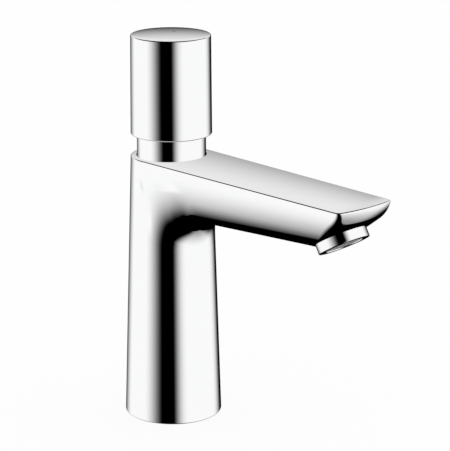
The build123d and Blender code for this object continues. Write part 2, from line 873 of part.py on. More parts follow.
# Turning sleeve: tube with ledges for cup and seat, windows and lugs for the disc
with BuildPart() as turning_sleeve:
    revolve(
        outline(
            (turner_bore_low_r, turner_low_z),
            (turner_r, turner_low_z),
            (turner_r, turner_top_z),
            (turner_bore_top_r, turner_top_z),
            (turner_bore_top_r, valve_seat_z),
            (turner_bore_mid_r, valve_seat_z),
            (turner_bore_mid_r, cup_ledge_z),
            (turner_bore_low_r, cup_ledge_z),
        ),
        axis=Axis.Z,
    )
    with BuildSketch(Plane.XY.offset(turner_low_z + face_gap)):
        for angle in key_angles:
            add(key_shape(key_in_r + key_gap, disc_r, key_w - 2 * key_gap, angle))
    extrude(amount=-disc_t)
    for middle in turner_seal_zs:
        revolve(
            ring(turner_r - seal_depth, turner_r + cut_over, middle - seal_h / 2, middle + seal_h / 2),
            axis=Axis.Z,
            mode=Mode.SUBTRACT,
        )
    with BuildSketch(Plane.XY.offset(turner_window_low_z)):
        for angle in range(0, 180, 360 // window_count):
            Rectangle(4 * turner_r, turner_window_w, rotation=angle)
    extrude(amount=turner_window_high_z - turner_window_low_z, mode=Mode.SUBTRACT)
turning_sleeve.part.label = "turning_sleeve"

# Rings that seal the turning sleeve in the housing, below and above its windows
with BuildPart() as sleeve_o_rings:
    for middle in turner_seal_zs:
        low, high = middle - seal_h / 2 + slip, middle + seal_h / 2 - slip
        revolve(soft_ring(turner_r - seal_depth + slip, turner_r + run_gap / 3, low, high), axis=Axis.Z)
sleeve_o_rings.part.label = "sleeve_o_rings"

# Brass seat with a raised lip below, which the washer closes against
with BuildPart() as valve_seat:
    revolve(
        outline(
            (valve_seat_bore_r, valve_lip_z),
            (valve_seat_bore_r + valve_lip_w, valve_lip_z),
            (valve_seat_bore_r + valve_lip_w, valve_seat_z + face_gap),
            (turner_bore_top_r - slip, valve_seat_z + face_gap),
            (turner_bore_top_r - slip, valve_seat_z + face_gap + valve_seat_t),
            (valve_seat_bore_r, valve_seat_z + face_gap + valve_seat_t),
        ),
        axis=Axis.Z,
    )
valve_seat.part.label = "valve_seat"

# Cup that the timing piston works in, held by ribs in the turning sleeve
cup_rib_end_r = sqrt((turner_bore_mid_r - slip) ** 2 - (cup_rib_w / 2) ** 2)
with BuildPart() as timing_cup:
    revolve(
        outline(
            (0, cup_low_z),
            (cup_r, cup_low_z),
            (cup_r, cup_low_z + cup_h),
            (cup_bore_r, cup_low_z + cup_h),
            (cup_bore_r, cup_floor_z),
            (0, cup_floor_z),
        ),
        axis=Axis.Z,
    )
    with BuildSketch(Plane.XY.offset(cup_low_z)):
        for angle in range(0, 360, 360 // cup_rib_count):
            add(key_shape((cup_r + cup_bore_r) / 2, cup_rib_end_r, cup_rib_w, angle))
    extrude(amount=cup_rib_h)
    with BuildSketch(Plane.XY.offset(cup_low_z)):
        Circle(meter_r + slip)
    extrude(amount=cup_floor_t, mode=Mode.SUBTRACT)
timing_cup.part.label = "timing_cup"

# Screw with the fine passage that lets the cup fill again
meter_head_top_z = cup_low_z - face_gap
meter_tip_z = cup_floor_z + meter_tip_l
with BuildPart() as metering_screw:
    revolve(
        outline(
            (meter_passage_r, meter_head_top_z - meter_head_t),
            (meter_head_r, meter_head_top_z - meter_head_t),
            (meter_head_r, meter_head_top_z),
            (meter_r, meter_head_top_z),
            (meter_r, meter_tip_z),
            (meter_passage_r, meter_tip_z),
        ),
        axis=Axis.Z,
    )
    with BuildSketch(Plane.XY.offset(meter_head_top_z - meter_head_t)):
        Rectangle(3 * meter_head_r, meter_slot_w)
    extrude(amount=meter_slot_d, mode=Mode.SUBTRACT)
metering_screw.part.label = "metering_screw"

# Spring in the cup, under the piston
spring_low_z = cup_floor_z + face_gap + spring_wire_r
spring_l = piston_low_z - face_gap - spring_wire_r - spring_low_z
with BuildPart() as return_spring:
    coil = Helix(spring_l / spring_turns, spring_l, spring_mean_r, center=(0, 0, spring_low_z))
    with BuildSketch(Plane(origin=coil @ 0, z_dir=coil % 0)):
        Circle(spring_wire_r)
    sweep(path=coil, is_frenet=True)
return_spring.part.label = "return_spring"

# Piston with its seal groove, its stem and the plate that carries the washer
seal_low_z = piston_low_z + (piston_h - lip_seal_h) / 2
rod_low_z = piston_top_z - rod_grip_l
with BuildPart() as timing_piston:
    revolve(
        outline(
            (0, piston_low_z),
            (piston_r, piston_low_z),
            (piston_r, seal_low_z),
            (piston_r - lip_seal_depth, seal_low_z),
            (piston_r - lip_seal_depth, seal_low_z + lip_seal_h),
            (piston_r, seal_low_z + lip_seal_h),
            (piston_r, piston_low_z + piston_h),
            (piston_stem_r, piston_low_z + piston_h),
            (piston_stem_r, piston_top_z - valve_plate_t),
            (valve_plate_r, piston_top_z - valve_plate_t),
            (valve_plate_r, piston_top_z),
            (rod_r + slip, piston_top_z),
            (rod_r + slip, rod_low_z),
            (0, rod_low_z),
        ),
        axis=Axis.Z,
    )
timing_piston.part.label = "timing_piston"

# Seal that lets water out of the cup past the piston, but not back in
lip_in_r = piston_r - lip_seal_depth + slip
lip_out_r = cup_bore_r - lip_seal_gap
lip_top_z = seal_low_z + lip_seal_h - slip
with BuildPart() as lip_seal:
    revolve(
        outline(
            (lip_in_r, seal_low_z + slip),
            (lip_out_r, seal_low_z + slip),
            (lip_out_r, lip_top_z),
            ((lip_in_r + lip_out_r) / 2, lip_top_z - lip_cut),
            (lip_in_r, lip_top_z),
        ),
        axis=Axis.Z,
    )
lip_seal.part.label = "lip_seal"

# Rubber washer that closes against the seat
with BuildPart() as valve_washer:
    revolve(ring(rod_r + slip, valve_plate_r, valve_plate_z, washer_top_z), axis=Axis.Z)
valve_washer.part.label = "valve_washer"

# Rod from the knob's core down to the piston, with the collar that holds the washer
collar_z = washer_top_z + face_gap
with BuildPart() as push_rod:
    revolve(
        outline(
            (0, rod_low_z + face_gap),
            (rod_r, rod_low_z + face_gap),
            (rod_r, collar_z),
            (rod_collar_r, collar_z),
            (rod_collar_r, collar_z + rod_collar_t),
            (rod_r, collar_z + rod_collar_t),
            (rod_r, rod_top_z),
            (0, rod_top_z),
        ),
        axis=Axis.Z,
    )
push_rod.part.label = "push_rod"

# Bush that guides the rod at the top of the turning sleeve
gland_top_z = plug_low_z + gland_t
with BuildPart() as rod_gland:
    revolve(ring(rod_r + run_gap, gland_r, plug_low_z, gland_top_z), axis=Axis.Z)
rod_gland.part.label = "rod_gland"

# Ring that seals the rod above the bush
rod_seal_z = gland_top_z + face_gap
with BuildPart() as rod_seal:
    revolve(soft_ring(rod_r + run_gap, rod_seal_r, rod_seal_z, rod_seal_z + rod_seal_t), axis=Axis.Z)
rod_seal.part.label = "rod_seal"

# Spindle: plug and flange on the sleeve's top, and the toothed stem that the knob turns
with BuildPart() as spindle:
    revolve(
        outline(
            (gland_r + slip, plug_low_z),
            (turner_bore_top_r - slip, plug_low_z),
            (turner_bore_top_r - slip, spindle_flange_z),
            (turner_r, spindle_flange_z),
            (turner_r, spindle_flange_top_z),
            (spindle_r, spindle_flange_top_z),
            (spindle_r, spindle_top_z),
            (spindle_bore_r, spindle_top_z),
            (spindle_bore_r, rod_seal_z + rod_seal_t + face_gap),
            (rod_seal_r + slip, rod_seal_z + rod_seal_t + face_gap),
            (rod_seal_r + slip, gland_top_z + face_gap),
            (gland_r + slip, gland_top_z + face_gap),
        ),
        axis=Axis.Z,
    )
    with BuildSketch(Plane.XY.offset(tooth_low_z)):
        Circle(spindle_r)
        for tooth in range(tooth_count):
            add(key_shape(spindle_bore_r, tooth_r, tooth_w, tooth * 360 / tooth_count))
        Circle(spindle_bore_r, mode=Mode.SUBTRACT)
    extrude(amount=spindle_top_z - tooth_low_z)
spindle.part.label = "spindle"

# Brass nut that screws into the block and holds the cartridge down
with BuildPart() as cartridge_nut:
    revolve(
        outline(
            (tooth_r + nut_lip_gap, nut_seat_z),
            (nut_thread_r - slip, nut_seat_z),
            (nut_thread_r - slip, nut_head_z),
            (nut_head_r, nut_head_z),
            (nut_head_r, nut_top_z),
            (nut_bore_r, nut_top_z),
            (nut_bore_r, nut_seat_z + nut_lip_t),
            (tooth_r + nut_lip_gap, nut_seat_z + nut_lip_t),
        ),
        axis=Axis.Z,
    )
    neck_seal_z = nut_head_z + nut_head_t / 2
    revolve(
        ring(
            nut_head_r - neck_seal_depth,
            nut_head_r + cut_over,
            neck_seal_z - neck_seal_h / 2,
            neck_seal_z + neck_seal_h / 2,
        ),
        axis=Axis.Z,
        mode=Mode.SUBTRACT,
    )
    with BuildSketch(Plane.XY.offset(nut_top_z)):
        for angle in (45, 135):
            Rectangle(4 * nut_head_r, nut_slot_w, rotation=angle)
    extrude(amount=-nut_slot_d, mode=Mode.SUBTRACT)
cartridge_nut.part.label = "cartridge_nut"

# Ring on the nut that centres and holds the neck sleeve
with BuildPart() as neck_o_ring:
    revolve(
        soft_ring(
            nut_head_r - neck_seal_depth + slip,
            neck_in_r - slip / 2,
            neck_seal_z - neck_seal_h / 2 + slip,
            neck_seal_z + neck_seal_h / 2 - slip,
        ),
        axis=Axis.Z,
    )
neck_o_ring.part.label = "neck_o_ring"

# Limit ring on the nut: a ring with a thick part whose ends stop the finger
limit_in_r = nut_head_r - limit_ring_w
finger_half_angle = degrees(asin(finger_w / 2 / limit_stop_r))
window_half_angle = turn_half_range + finger_half_angle + finger_stop_gap
with BuildPart() as limit_ring:
    with BuildSketch(Plane.XY.offset(limit_low_z)):
        Circle(nut_head_r)
        Circle(limit_in_r, mode=Mode.SUBTRACT)
        add(sector(limit_stop_r, nut_head_r, window_half_angle - 180, 360 - 2 * window_half_angle))
    extrude(amount=limit_ring_t)
    spigot_r = nut_bore_r - slip
    revolve(
        ring(spigot_r - limit_spigot_w, spigot_r, limit_low_z - limit_spigot_l, limit_low_z),
        axis=Axis.Z,
    )
limit_ring.part.label = "limit_ring"

# Finger that turns with the spindle between the limit ring's ends
with BuildPart() as stop_finger:
    with BuildSketch(Plane.XY.offset(finger_low_z)):
        Circle(tooth_r + finger_hub_w)
        add(key_shape(spindle_r, limit_in_r - finger_tip_gap, finger_w, 180))
        add(toothed(tooth_gap), mode=Mode.SUBTRACT)
    extrude(amount=finger_t)
stop_finger.part.label = "stop_finger"

# Moulded core in the knob: rim, roof and a hub that slides on the spindle's teeth
with BuildPart() as knob_core:
    revolve(ring(0, core_r, core_plate_z, core_top_z), axis=Axis.Z)
    revolve(ring(core_r - core_rim_t, core_r, core_low_z, core_plate_z), axis=Axis.Z)
    revolve(ring(0, core_hub_r, core_low_z, core_plate_z), axis=Axis.Z)
    with BuildSketch(Plane.XY.offset(core_low_z + core_rib_t)):
        for angle in range(0, 180, 360 // core_rib_count):
            Rectangle(2 * core_r - core_rim_t, core_rib_t, rotation=angle)
    extrude(amount=core_plate_z - core_low_z - core_rib_t)
    with BuildSketch(Plane.XY.offset(grub_z - core_boss_w / 2)):
        with Locations((-(core_r - core_rim_t / 2), 0)):
            Rectangle(core_r - core_hub_r / 2, core_boss_w, align=(Align.MIN, Align.CENTER))
    extrude(amount=core_boss_w)
    with BuildSketch(Plane.XY.offset(core_low_z)):
        add(toothed(tooth_gap))
    extrude(amount=hub_roof_z - core_low_z, mode=Mode.SUBTRACT)
    revolve(ring(0, rod_r + slip, core_low_z, rod_top_z + face_gap), axis=Axis.Z, mode=Mode.SUBTRACT)
    with BuildSketch(back.offset(grub_in_r - face_gap)):
        Circle(grub_r + slip)
    extrude(amount=knob_low_r, mode=Mode.SUBTRACT)
knob_core.part.label = "knob_core"

# Slippery ring in the knob's rim, which runs on the neck sleeve
with BuildPart() as glide_ring:
    glide_out_r = knob_bore_r + glide_seat_depth - slip
    revolve(ring(neck_r + run_gap, glide_out_r, glide_low_z, glide_low_z + glide_h), axis=Axis.Z)
glide_ring.part.label = "glide_ring"

# Screw at the back that fixes the cap to the core
with BuildPart() as grub_screw:
    with BuildSketch(back.offset(grub_in_r)):
        Circle(grub_r)
    extrude(amount=grub_l)
    with BuildSketch(back.offset(grub_in_r + grub_l)):
        RegularPolygon(grub_socket_r, 6)
    extrude(amount=-grub_socket_l, mode=Mode.SUBTRACT)
grub_screw.part.label = "grub_screw"

# Plug that covers the screw
with BuildPart() as screw_plug:
    with BuildSketch(back.offset(grub_in_r + grub_l + face_gap)):
        Circle(grub_r)
    extrude(amount=plug_t)
    chamfer(screw_plug.faces().sort_by(Axis.X)[0].edges(), length=plug_sink)
screw_plug.part.label = "screw_plug"

# End fitting of the hose, pushed into the block's port
nozzle_low = chamber_r - block_r + nozzle_inset
collar_low = nozzle_collar_r * tan(hose_rise) + face_gap
hose_low = collar_low + nozzle_collar_t + face_gap
nozzle_seal_s = nozzle_low / 2
with BuildPart() as hose_nozzle:
    revolve(
        outline(
            (water_r, nozzle_low),
            (port_r, nozzle_low),
            (port_r, nozzle_seal_s - nozzle_seal_h / 2),
            (port_r - nozzle_seal_depth, nozzle_seal_s - nozzle_seal_h / 2),
            (port_r - nozzle_seal_depth, nozzle_seal_s + nozzle_seal_h / 2),
            (port_r, nozzle_seal_s + nozzle_seal_h / 2),
            (port_r, collar_low),
            (nozzle_collar_r, collar_low),
            (nozzle_collar_r, collar_low + nozzle_collar_t),
            (hose_bore_r - slip, collar_low + nozzle_collar_t),
            (hose_bore_r - slip, collar_low + nozzle_collar_t + barb_l),
            (water_r, collar_low + nozzle_collar_t + barb_l),
            on=port,
        ),
        axis=axis_of(port),
    )
hose_nozzle.part.label = "hose_nozzle"

# Ring that seals the fitting in the port
with BuildPart() as nozzle_o_ring:
    revolve(
        soft_ring(
            port_r - nozzle_seal_depth + slip,
            port_r,
            nozzle_seal_s - nozzle_seal_h / 2 + slip,
            nozzle_seal_s + nozzle_seal_h / 2 - slip,
            on=port,
        ),
        axis=axis_of(port),
    )
nozzle_o_ring.part.label = "nozzle_o_ring"

# Hose along the spout
with BuildPart() as spout_hose:
    revolve(ring(hose_bore_r, hose_r, hose_low, elbow_shoulder - face_gap, on=port), axis=axis_of(port))
spout_hose.part.label = "spout_hose"

# Moulded elbow: takes the hose's end and leads the water down to the aerator
elbow_seat = slab_t + face_gap
with BuildPart() as outlet_elbow:
    revolve(ring(0, elbow_r, elbow_shoulder, elbow_tail, on=port), axis=axis_of(port))
    split(bisect_by=seat.offset(elbow_seat), keep=Keep.TOP)
    revolve(ring(0, elbow_head_r, elbow_seat, elbow_seat + elbow_head_h, on=seat), axis=axis_of(seat))
    revolve(ring(0, elbow_spigot_r, socket_l + face_gap, elbow_seat, on=seat), axis=axis_of(seat))
    barb_face = ring(0, hose_bore_r - slip, elbow_shoulder - barb_l, elbow_shoulder, on=port)
    revolve(barb_face, axis=axis_of(port))
    chamber_top = elbow_seat + elbow_head_h - elbow_wall
    chamber_face = ring(0, elbow_chamber_r, socket_l, chamber_top, on=seat)
    revolve(chamber_face, axis=axis_of(seat), mode=Mode.SUBTRACT)
    groove_face = ring(
        elbow_spigot_r + slip,
        elbow_spigot_r + 3 * slip + elbow_seal_w,
        elbow_seat,
        elbow_seat + elbow_seal_h + slip,
        on=seat,
    )
    revolve(groove_face, axis=axis_of(seat), mode=Mode.SUBTRACT)
    bore_face = ring(0, elbow_bore_r, elbow_shoulder + elbow_wall, elbow_tail - elbow_wall, on=port)
    revolve(bore_face, axis=axis_of(port), mode=Mode.SUBTRACT)
    barb_bore_face = ring(0, water_r, elbow_shoulder - barb_l, elbow_shoulder + elbow_wall, on=port)
    revolve(barb_bore_face, axis=axis_of(port), mode=Mode.SUBTRACT)
outlet_elbow.part.label = "outlet_elbow"

# Ring that seals the elbow on the casting
with BuildPart() as elbow_o_ring:
    seal_in = elbow_spigot_r + 2 * slip
    seal_face = soft_ring(seal_in, seal_in + elbow_seal_w, elbow_seat, elbow_seat + elbow_seal_h, on=seat)
    revolve(seal_face, axis=axis_of(seat))
elbow_o_ring.part.label = "elbow_o_ring"

# Chromed ring that screws into the spout and holds the aerator
mouth_top = aerator_lip_t - aerator_h
with BuildPart() as aerator_ring:
    revolve(
        outline(
            (aerator_mouth_r, -aerator_h),
            (aerator_r, -aerator_h),
            (aerator_r, -face_gap),
            (aerator_thread_r, -face_gap),
            (aerator_thread_r, aerator_thread_l),
            (aerator_bore_r, aerator_thread_l),
            (aerator_bore_r, mouth_top),
            (aerator_mouth_r, mouth_top),
            on=seat,
        ),
        axis=axis_of(seat),
    )
    mouth_edges = aerator_ring.edges().filter_by(GeomType.CIRCLE).sort_by(axis_of(seat))
    fillet([edge for edge in mouth_edges if edge.radius > aerator_thread_r][0], radius=aerator_edge_r)
aerator_ring.part.label = "aerator_ring"

# Rubber washer between the ring's thread end and the casting
with BuildPart() as aerator_washer:
    washer_low = aerator_thread_l + face_gap
    washer_face = soft_ring(washer_in_r, washer_out_r, washer_low, washer_low + aerator_washer_t, on=seat)
    revolve(washer_face, axis=axis_of(seat))
aerator_washer.part.label = "aerator_washer"

# Grey grid in the ring's mouth
grille_low = grille_sink - aerator_h
grille_top = grille_low + grille_t
grille_r = aerator_bore_r - slip
with BuildPart() as aerator_grille:
    revolve(
        outline(
            (0, grille_low),
            (aerator_mouth_r - slip, grille_low),
            (aerator_mouth_r - slip, mouth_top + face_gap),
            (grille_r, mouth_top + face_gap),
            (grille_r, grille_top),
            (0, grille_top),
            on=seat,
        ),
        axis=axis_of(seat),
    )
    with BuildSketch(seat.offset(grille_low)):
        with Locations(*hex_points(grille_pitch, aerator_mouth_r - grille_rim - grille_hole_r)):
            Circle(grille_hole_r)
    extrude(amount=grille_t, mode=Mode.SUBTRACT)
aerator_grille.part.label = "aerator_grille"

# Core that breaks the water into jets and draws in air
core_base = grille_top + face_gap
with BuildPart() as aerator_core:
    revolve(
        outline(
            (0, core_base),
            (grille_r, core_base),
            (grille_r, core_base + mixer_l),
            (grille_r - core_wall_t, core_base + mixer_l),
            (grille_r - core_wall_t, core_base + mixer_l - mixer_well),
            (0, core_base + mixer_l - mixer_well),
            on=seat,
        ),
        axis=axis_of(seat),
    )
    hollow_r = grille_r - core_wall_t
    hollow_face = ring(0, hollow_r, core_base, core_base + mixer_l - mixer_well - mixer_plate_t, on=seat)
    revolve(hollow_face, axis=axis_of(seat), mode=Mode.SUBTRACT)
    with BuildSketch(seat.offset(core_base)):
        with PolarLocations(mixer_hole_ring_r, mixer_hole_count):
            Circle(mixer_hole_r)
    extrude(amount=mixer_l, mode=Mode.SUBTRACT)
aerator_core.part.label = "aerator_core"

# Disc that limits the flow
regulator_low = core_base + mixer_l + face_gap
with BuildPart() as flow_regulator:
    revolve(ring(0, grille_r, regulator_low, regulator_low + regulator_t, on=seat), axis=axis_of(seat))
    hub_face = ring(0, regulator_hub_r, regulator_low, regulator_low + regulator_t + regulator_hub_h, on=seat)
    revolve(hub_face, axis=axis_of(seat))
    with BuildSketch(seat.offset(regulator_low)):
        with PolarLocations(regulator_hole_ring_r, regulator_hole_count):
            Circle(regulator_hole_r)
    extrude(amount=regulator_t, mode=Mode.SUBTRACT)
flow_regulator.part.label = "flow_regulator"

pieces = [
    body_shell,
    neck_sleeve,
    knob_cap,
    index_mark,
    function_block,
    block_screws,
    base_ring,
    base_seal,
    inlet_filters,
    check_valves,
    cartridge_seals,
    cartridge_housing,
    housing_o_rings,
    fixed_disc,
    turning_disc,
    turning_sleeve,
    sleeve_o_rings,
    valve_seat,
    timing_cup,
    metering_screw,
    return_spring,
    timing_piston,
    lip_seal,
    valve_washer,
    push_rod,
    rod_gland,
    rod_seal,
    spindle,
    cartridge_nut,
    neck_o_ring,
    limit_ring,
    stop_finger,
    knob_core,
    glide_ring,
    grub_screw,
    screw_plug,
    hose_nozzle,
    nozzle_o_ring,
    spout_hose,
    outlet_elbow,
    elbow_o_ring,
    aerator_ring,
    aerator_washer,
    aerator_grille,
    aerator_core,
    flow_regulator,
]
os.makedirs("parts", exist_ok=True)
for piece in pieces:
    export_step(piece.part, f"parts/{piece.part.label}.step")
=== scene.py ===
"""Looks of a push timed tap: a chromed basin tap with a round push knob.

Metres. The origin is the centre of the base, the spout points along +X and +Z is up.
"""
import json
import math

import bmesh
import bpy
import numpy as np
from mathutils import Matrix, Vector

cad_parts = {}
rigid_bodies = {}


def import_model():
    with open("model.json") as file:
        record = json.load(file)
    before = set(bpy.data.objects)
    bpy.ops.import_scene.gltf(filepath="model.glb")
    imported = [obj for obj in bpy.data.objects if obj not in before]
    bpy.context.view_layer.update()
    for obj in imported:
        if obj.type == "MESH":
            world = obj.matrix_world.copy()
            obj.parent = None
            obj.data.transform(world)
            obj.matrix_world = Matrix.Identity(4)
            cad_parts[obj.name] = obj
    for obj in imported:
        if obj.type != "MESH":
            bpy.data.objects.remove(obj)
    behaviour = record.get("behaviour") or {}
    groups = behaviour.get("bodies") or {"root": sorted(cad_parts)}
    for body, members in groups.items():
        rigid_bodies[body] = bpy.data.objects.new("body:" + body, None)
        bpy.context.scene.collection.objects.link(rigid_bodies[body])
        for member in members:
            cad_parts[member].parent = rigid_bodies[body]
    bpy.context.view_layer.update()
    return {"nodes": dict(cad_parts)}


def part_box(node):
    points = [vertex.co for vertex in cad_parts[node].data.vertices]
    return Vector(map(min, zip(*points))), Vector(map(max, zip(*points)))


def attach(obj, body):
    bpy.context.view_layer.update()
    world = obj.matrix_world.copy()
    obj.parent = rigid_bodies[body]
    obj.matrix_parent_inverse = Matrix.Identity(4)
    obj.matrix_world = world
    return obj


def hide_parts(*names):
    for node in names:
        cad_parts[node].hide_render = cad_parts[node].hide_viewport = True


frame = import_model()
mm = 0.001

# Camera, level with the tap's upper part and looking slightly down on it from the spout's right.
# The photograph was taken with a long lens, so the sides hardly converge.
eye = Vector((0.67224, -0.58849, 0.35658))
aim = Vector((0.0176, 0.0190, 0.09505))
lens = bpy.data.cameras.new("camera")
lens.lens = 151.5
lens.sensor_width = 36.0
camera = bpy.data.objects.new("camera", lens)
camera.location = eye
camera.rotation_euler = (aim - eye).to_track_quat("-Z", "Y").to_euler()
bpy.context.scene.collection.objects.link(camera)
bpy.context.scene.camera = camera

# Body: column and spout are one brass casting, ground smooth and chromed. Its sides run into
# each other in a soft hollow, the nose bows forward and the top is slightly crowned, as
# polishing leaves it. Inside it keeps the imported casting's bore, spout channel and recess.
foot_r = 24 * mm
top_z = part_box("body_shell")[1].z
tip_x = 131.4 * mm
shoulder_r = 19.81 * mm
tip_half_w = 17.1 * mm
tip_bow = 2.95 * mm
root_depth = 30.6 * mm
tip_depth = 22.1 * mm
nose_arc_r = 11.2 * mm
nose_turn = math.radians(50)
nose_corner_r = 3 * mm  # at the top
nose_corner_low_r = 5 * mm  # further down
nose_corner_drop = 8 * mm  # depth at which it has grown to that
nose_sweep = 16  # how much the nose's bow widens with each metre of depth
junction_w = 16 * mm  # width of the hollow on either surface, where they meet at a right angle
junction_start = 12 * mm  # depth below the top at which it has grown to that
junction_power = 2.5  # how softly the hollow starts
junction_rear = -4 * mm  # where it ends behind the column's axis
junction_l = 12 * mm  # length over which it does
least_share = 0.001  # keeps the hollow's width above nothing
tail_r = 4.5 * mm  # radius of the spout's end inside the column
least_level = 0.1  # keeps the spout's middle line, where no side is nearest, out of the sums
top_edge_r = 0.65 * mm
foot_edge_r = 0.5 * mm
crown = 0.5 * mm
crown_rise = 0.4 * mm  # of the top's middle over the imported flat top
seat_back = 17.6 * mm
seat_drop = 16.5 * mm
seat_tilt = math.radians(31)
seat_point = Vector((tip_x - seat_back, 0, top_z - seat_drop))
seat_up = Vector((-math.sin(seat_tilt), 0, math.cos(seat_tilt)))
foot_way = Vector((0, 0, -1))
neck_hole_r = 17.13 * mm
least_wall = 1.5 * mm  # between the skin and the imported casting's inside
lean = math.atan((foot_r - shoulder_r) / top_z)
bow_r = (tip_half_w**2 + tip_bow**2) / (2 * tip_bow)
bow_x = tip_x - bow_r


def column(places):
    """Distance to the column's leaning side, and the side's direction there."""
    x, y, z = places.T
    out = np.hypot(x, y)
    gap = (out - foot_r + math.tan(lean) * z) * math.cos(lean)
    rise = np.full(len(places), math.sin(lean))
    return gap, np.stack([x / out * math.cos(lean), y / out * math.cos(lean), rise], 1)


def tube(places):
    """The same for the spout's sides and belly, a half ellipse that tapers to the tip."""
    x, y, z = places.T
    down = np.maximum(top_z - z, 0)
    narrowing = (shoulder_r - tip_half_w) / (tip_x - tip_bow)
    rising = (root_depth - tip_depth) / tip_x
    half_w = shoulder_r - narrowing * np.maximum(x, 0)
    half_w_slope = np.where(x > 0, -narrowing, 0)
    depth = root_depth - rising * np.maximum(x, 0)
    depth_slope = np.where(x > 0, -rising, 0)
    behind = np.minimum(x, 0)
    level = np.maximum(np.hypot(y / half_w, down / depth), least_level)
    along = -(y**2 / half_w**3 * half_w_slope + down**2 / depth**3 * depth_slope)
    slope = np.stack([along, y / half_w**2, -down / depth**2], 1) / level[:, None]
    steepness = np.maximum(np.linalg.norm(slope, axis=1), 1 / root_depth)
    way = slope / steepness[:, None]
    way[:, 0] += behind / tail_r
    return (level - 1) / steepness + behind**2 / (2 * tail_r), way


def nose(places):
    """The same for the nose: an arc from the top, then straight, bowed across the spout."""
    x, y, z = places.T
    y = y * (1 + nose_sweep * np.clip(top_z - z, 0, tip_depth))
    bowed = x > bow_x
    out = np.where(bowed, np.hypot(x - bow_x, y), x - bow_x)
    ahead = out + bow_x - (tip_x - nose_arc_r)
    down = top_z - z
    turn = np.clip(np.arctan2(down, ahead), 0, nose_turn)
    gap = ahead * np.cos(turn) + down * np.sin(turn) - nose_arc_r
    reach = np.maximum(np.abs(out), mm**2)
    across_x = np.where(bowed, (x - bow_x) / reach, 1) * np.cos(turn)
    across_y = np.where(bowed, y / reach, 0) * np.cos(turn)
    return gap, np.stack([across_x, across_y, -np.sin(turn)], 1)


def rolled(first, second, edge_r):
    """Two surfaces that meet in an edge, rounded with a radius."""
    (a, a_way), (b, b_way) = first, second
    alike = (a_way * b_way).sum(1)
    rest = np.maximum(1 - alike**2, 1e-6)
    a_part = ((a + edge_r) - alike * (b + edge_r)) / rest
    b_part = ((b + edge_r) - alike * (a + edge_r)) / rest
    arm = a_part[:, None] * a_way + b_part[:, None] * b_way
    far = np.maximum(np.linalg.norm(arm, axis=1), mm**2)
    between = (a_part > 0) & (b_part > 0)
    gap = np.where(between, far - edge_r, np.maximum(a, b))
    flat = np.where((a > b)[:, None], a_way, b_way)
    return gap, np.where(between[:, None], arm / far[:, None], flat)


def hollowed(first, second, width):
    """Two surfaces that run into each other in a soft hollow."""
    (a, a_way), (b, b_way) = first, second
    near = np.clip(1 - np.abs(a - b) / width, 0, 1)
    other = near ** (junction_power - 1) / 2
    share = np.where(a < b, 1 - other, other)[:, None]
    rise = width * near**junction_power / (2 * junction_power)
    return np.minimum(a, b) - rise, share * a_way + (1 - share) * b_way


def eased(share):
    """Runs smoothly from 0 to 1."""
    share = np.clip(share, least_share, 1)
    return share**2 * (3 - 2 * share)


def outside(places):
    """Distance to the whole casting's outer skin, and the skin's direction."""
    x, down = places[:, 0], top_z - places[:, 2]
    corner_r = nose_corner_r + (nose_corner_low_r - nose_corner_r) * eased(down / nose_corner_drop)
    spout = rolled(tube(places), nose(places), corner_r)
    width = junction_w * eased(down / junction_start) * eased((x - junction_rear) / junction_l)
    return hollowed(column(places), spout, width)


def skin_way(places):
    """The direction that the skin faces, from how its distance grows along X, Y and Z."""
    step = 0.05 * mm
    growth = [outside(places + step * way)[0] - outside(places - step * way)[0] for way in np.eye(3)]
    ways = np.stack(growth, 1)
    return ways / np.linalg.norm(ways, axis=1)[:, None]


settle_rounds = 8


def settle(verts, flat=None):
    """Moves points onto the skin, within a plane if its direction is given."""
    places = np.array([vert.co for vert in verts])
    for _ in range(settle_rounds):
        gap, way = outside(places)
        if flat is not None:
            way = way - (way @ np.array(flat))[:, None] * np.array(flat)
        places -= (gap / (way * way).sum(1))[:, None] * way
    for vert, place in zip(verts, places):
        vert.co = place


def add_object(name, mesh):
    """A new object at the origin."""
    made = bpy.data.objects.new(name, mesh)
    bpy.context.scene.collection.objects.link(made)
    return made


def as_object(name, shape):
    """The object that a bmesh becomes."""
    mesh = bpy.data.meshes.new(name)
    shape.to_mesh(mesh)
    shape.free()
    return add_object(name, mesh)


# The casting's rough shape: a tapered half round bar with its nose cut off, and the column.
# Both stand proud of the top and the foot, where they are trimmed later.
proud = 4 * mm
voxel = 0.9 * mm
rough = bmesh.new()
bmesh.ops.create_circle(rough, cap_ends=True, segments=96, radius=1)
for vert in rough.verts:
    across, up = vert.co.x, vert.co.y
    vert.co = (0, across * shoulder_r, top_z + (up * root_depth if up < 0 else min(1, 6 * up) * proud))
bar = bmesh.ops.extrude_face_region(rough, geom=rough.faces[:])["geom"]
for vert in [item for item in bar if isinstance(item, bmesh.types.BMVert)]:
    up = vert.co.z - top_z
    drop = up * tip_depth / root_depth if up < 0 else up
    vert.co = (tip_x, vert.co.y * tip_half_w / shoulder_r, top_z + drop)
chin_way = Vector((math.cos(nose_turn), 0, -math.sin(nose_turn)))
chin_point = Vector((tip_x - nose_arc_r, 0, top_z)) + nose_arc_r * chin_way
bmesh.ops.bisect_plane(
    rough,
    geom=rough.verts[:] + rough.edges[:] + rough.faces[:],
    plane_co=chin_point,
    plane_no=chin_way,
    clear_outer=True,
)
bmesh.ops.holes_fill(rough, edges=[edge for edge in rough.edges if edge.is_boundary])
bmesh.ops.recalc_face_normals(rough, faces=rough.faces)
bmesh.ops.create_cone(
    rough,
    cap_ends=True,
    segments=128,
    radius1=foot_r + math.tan(lean) * proud,
    radius2=shoulder_r - math.tan(lean) * proud,
    depth=top_z + 2 * proud,
    matrix=Matrix.Translation((0, 0, top_z / 2)),
)
rough_body = as_object("rough_body", rough)
even = rough_body.modifiers.new("even", "REMESH")
even.mode = "VOXEL"
even.voxel_size = voxel
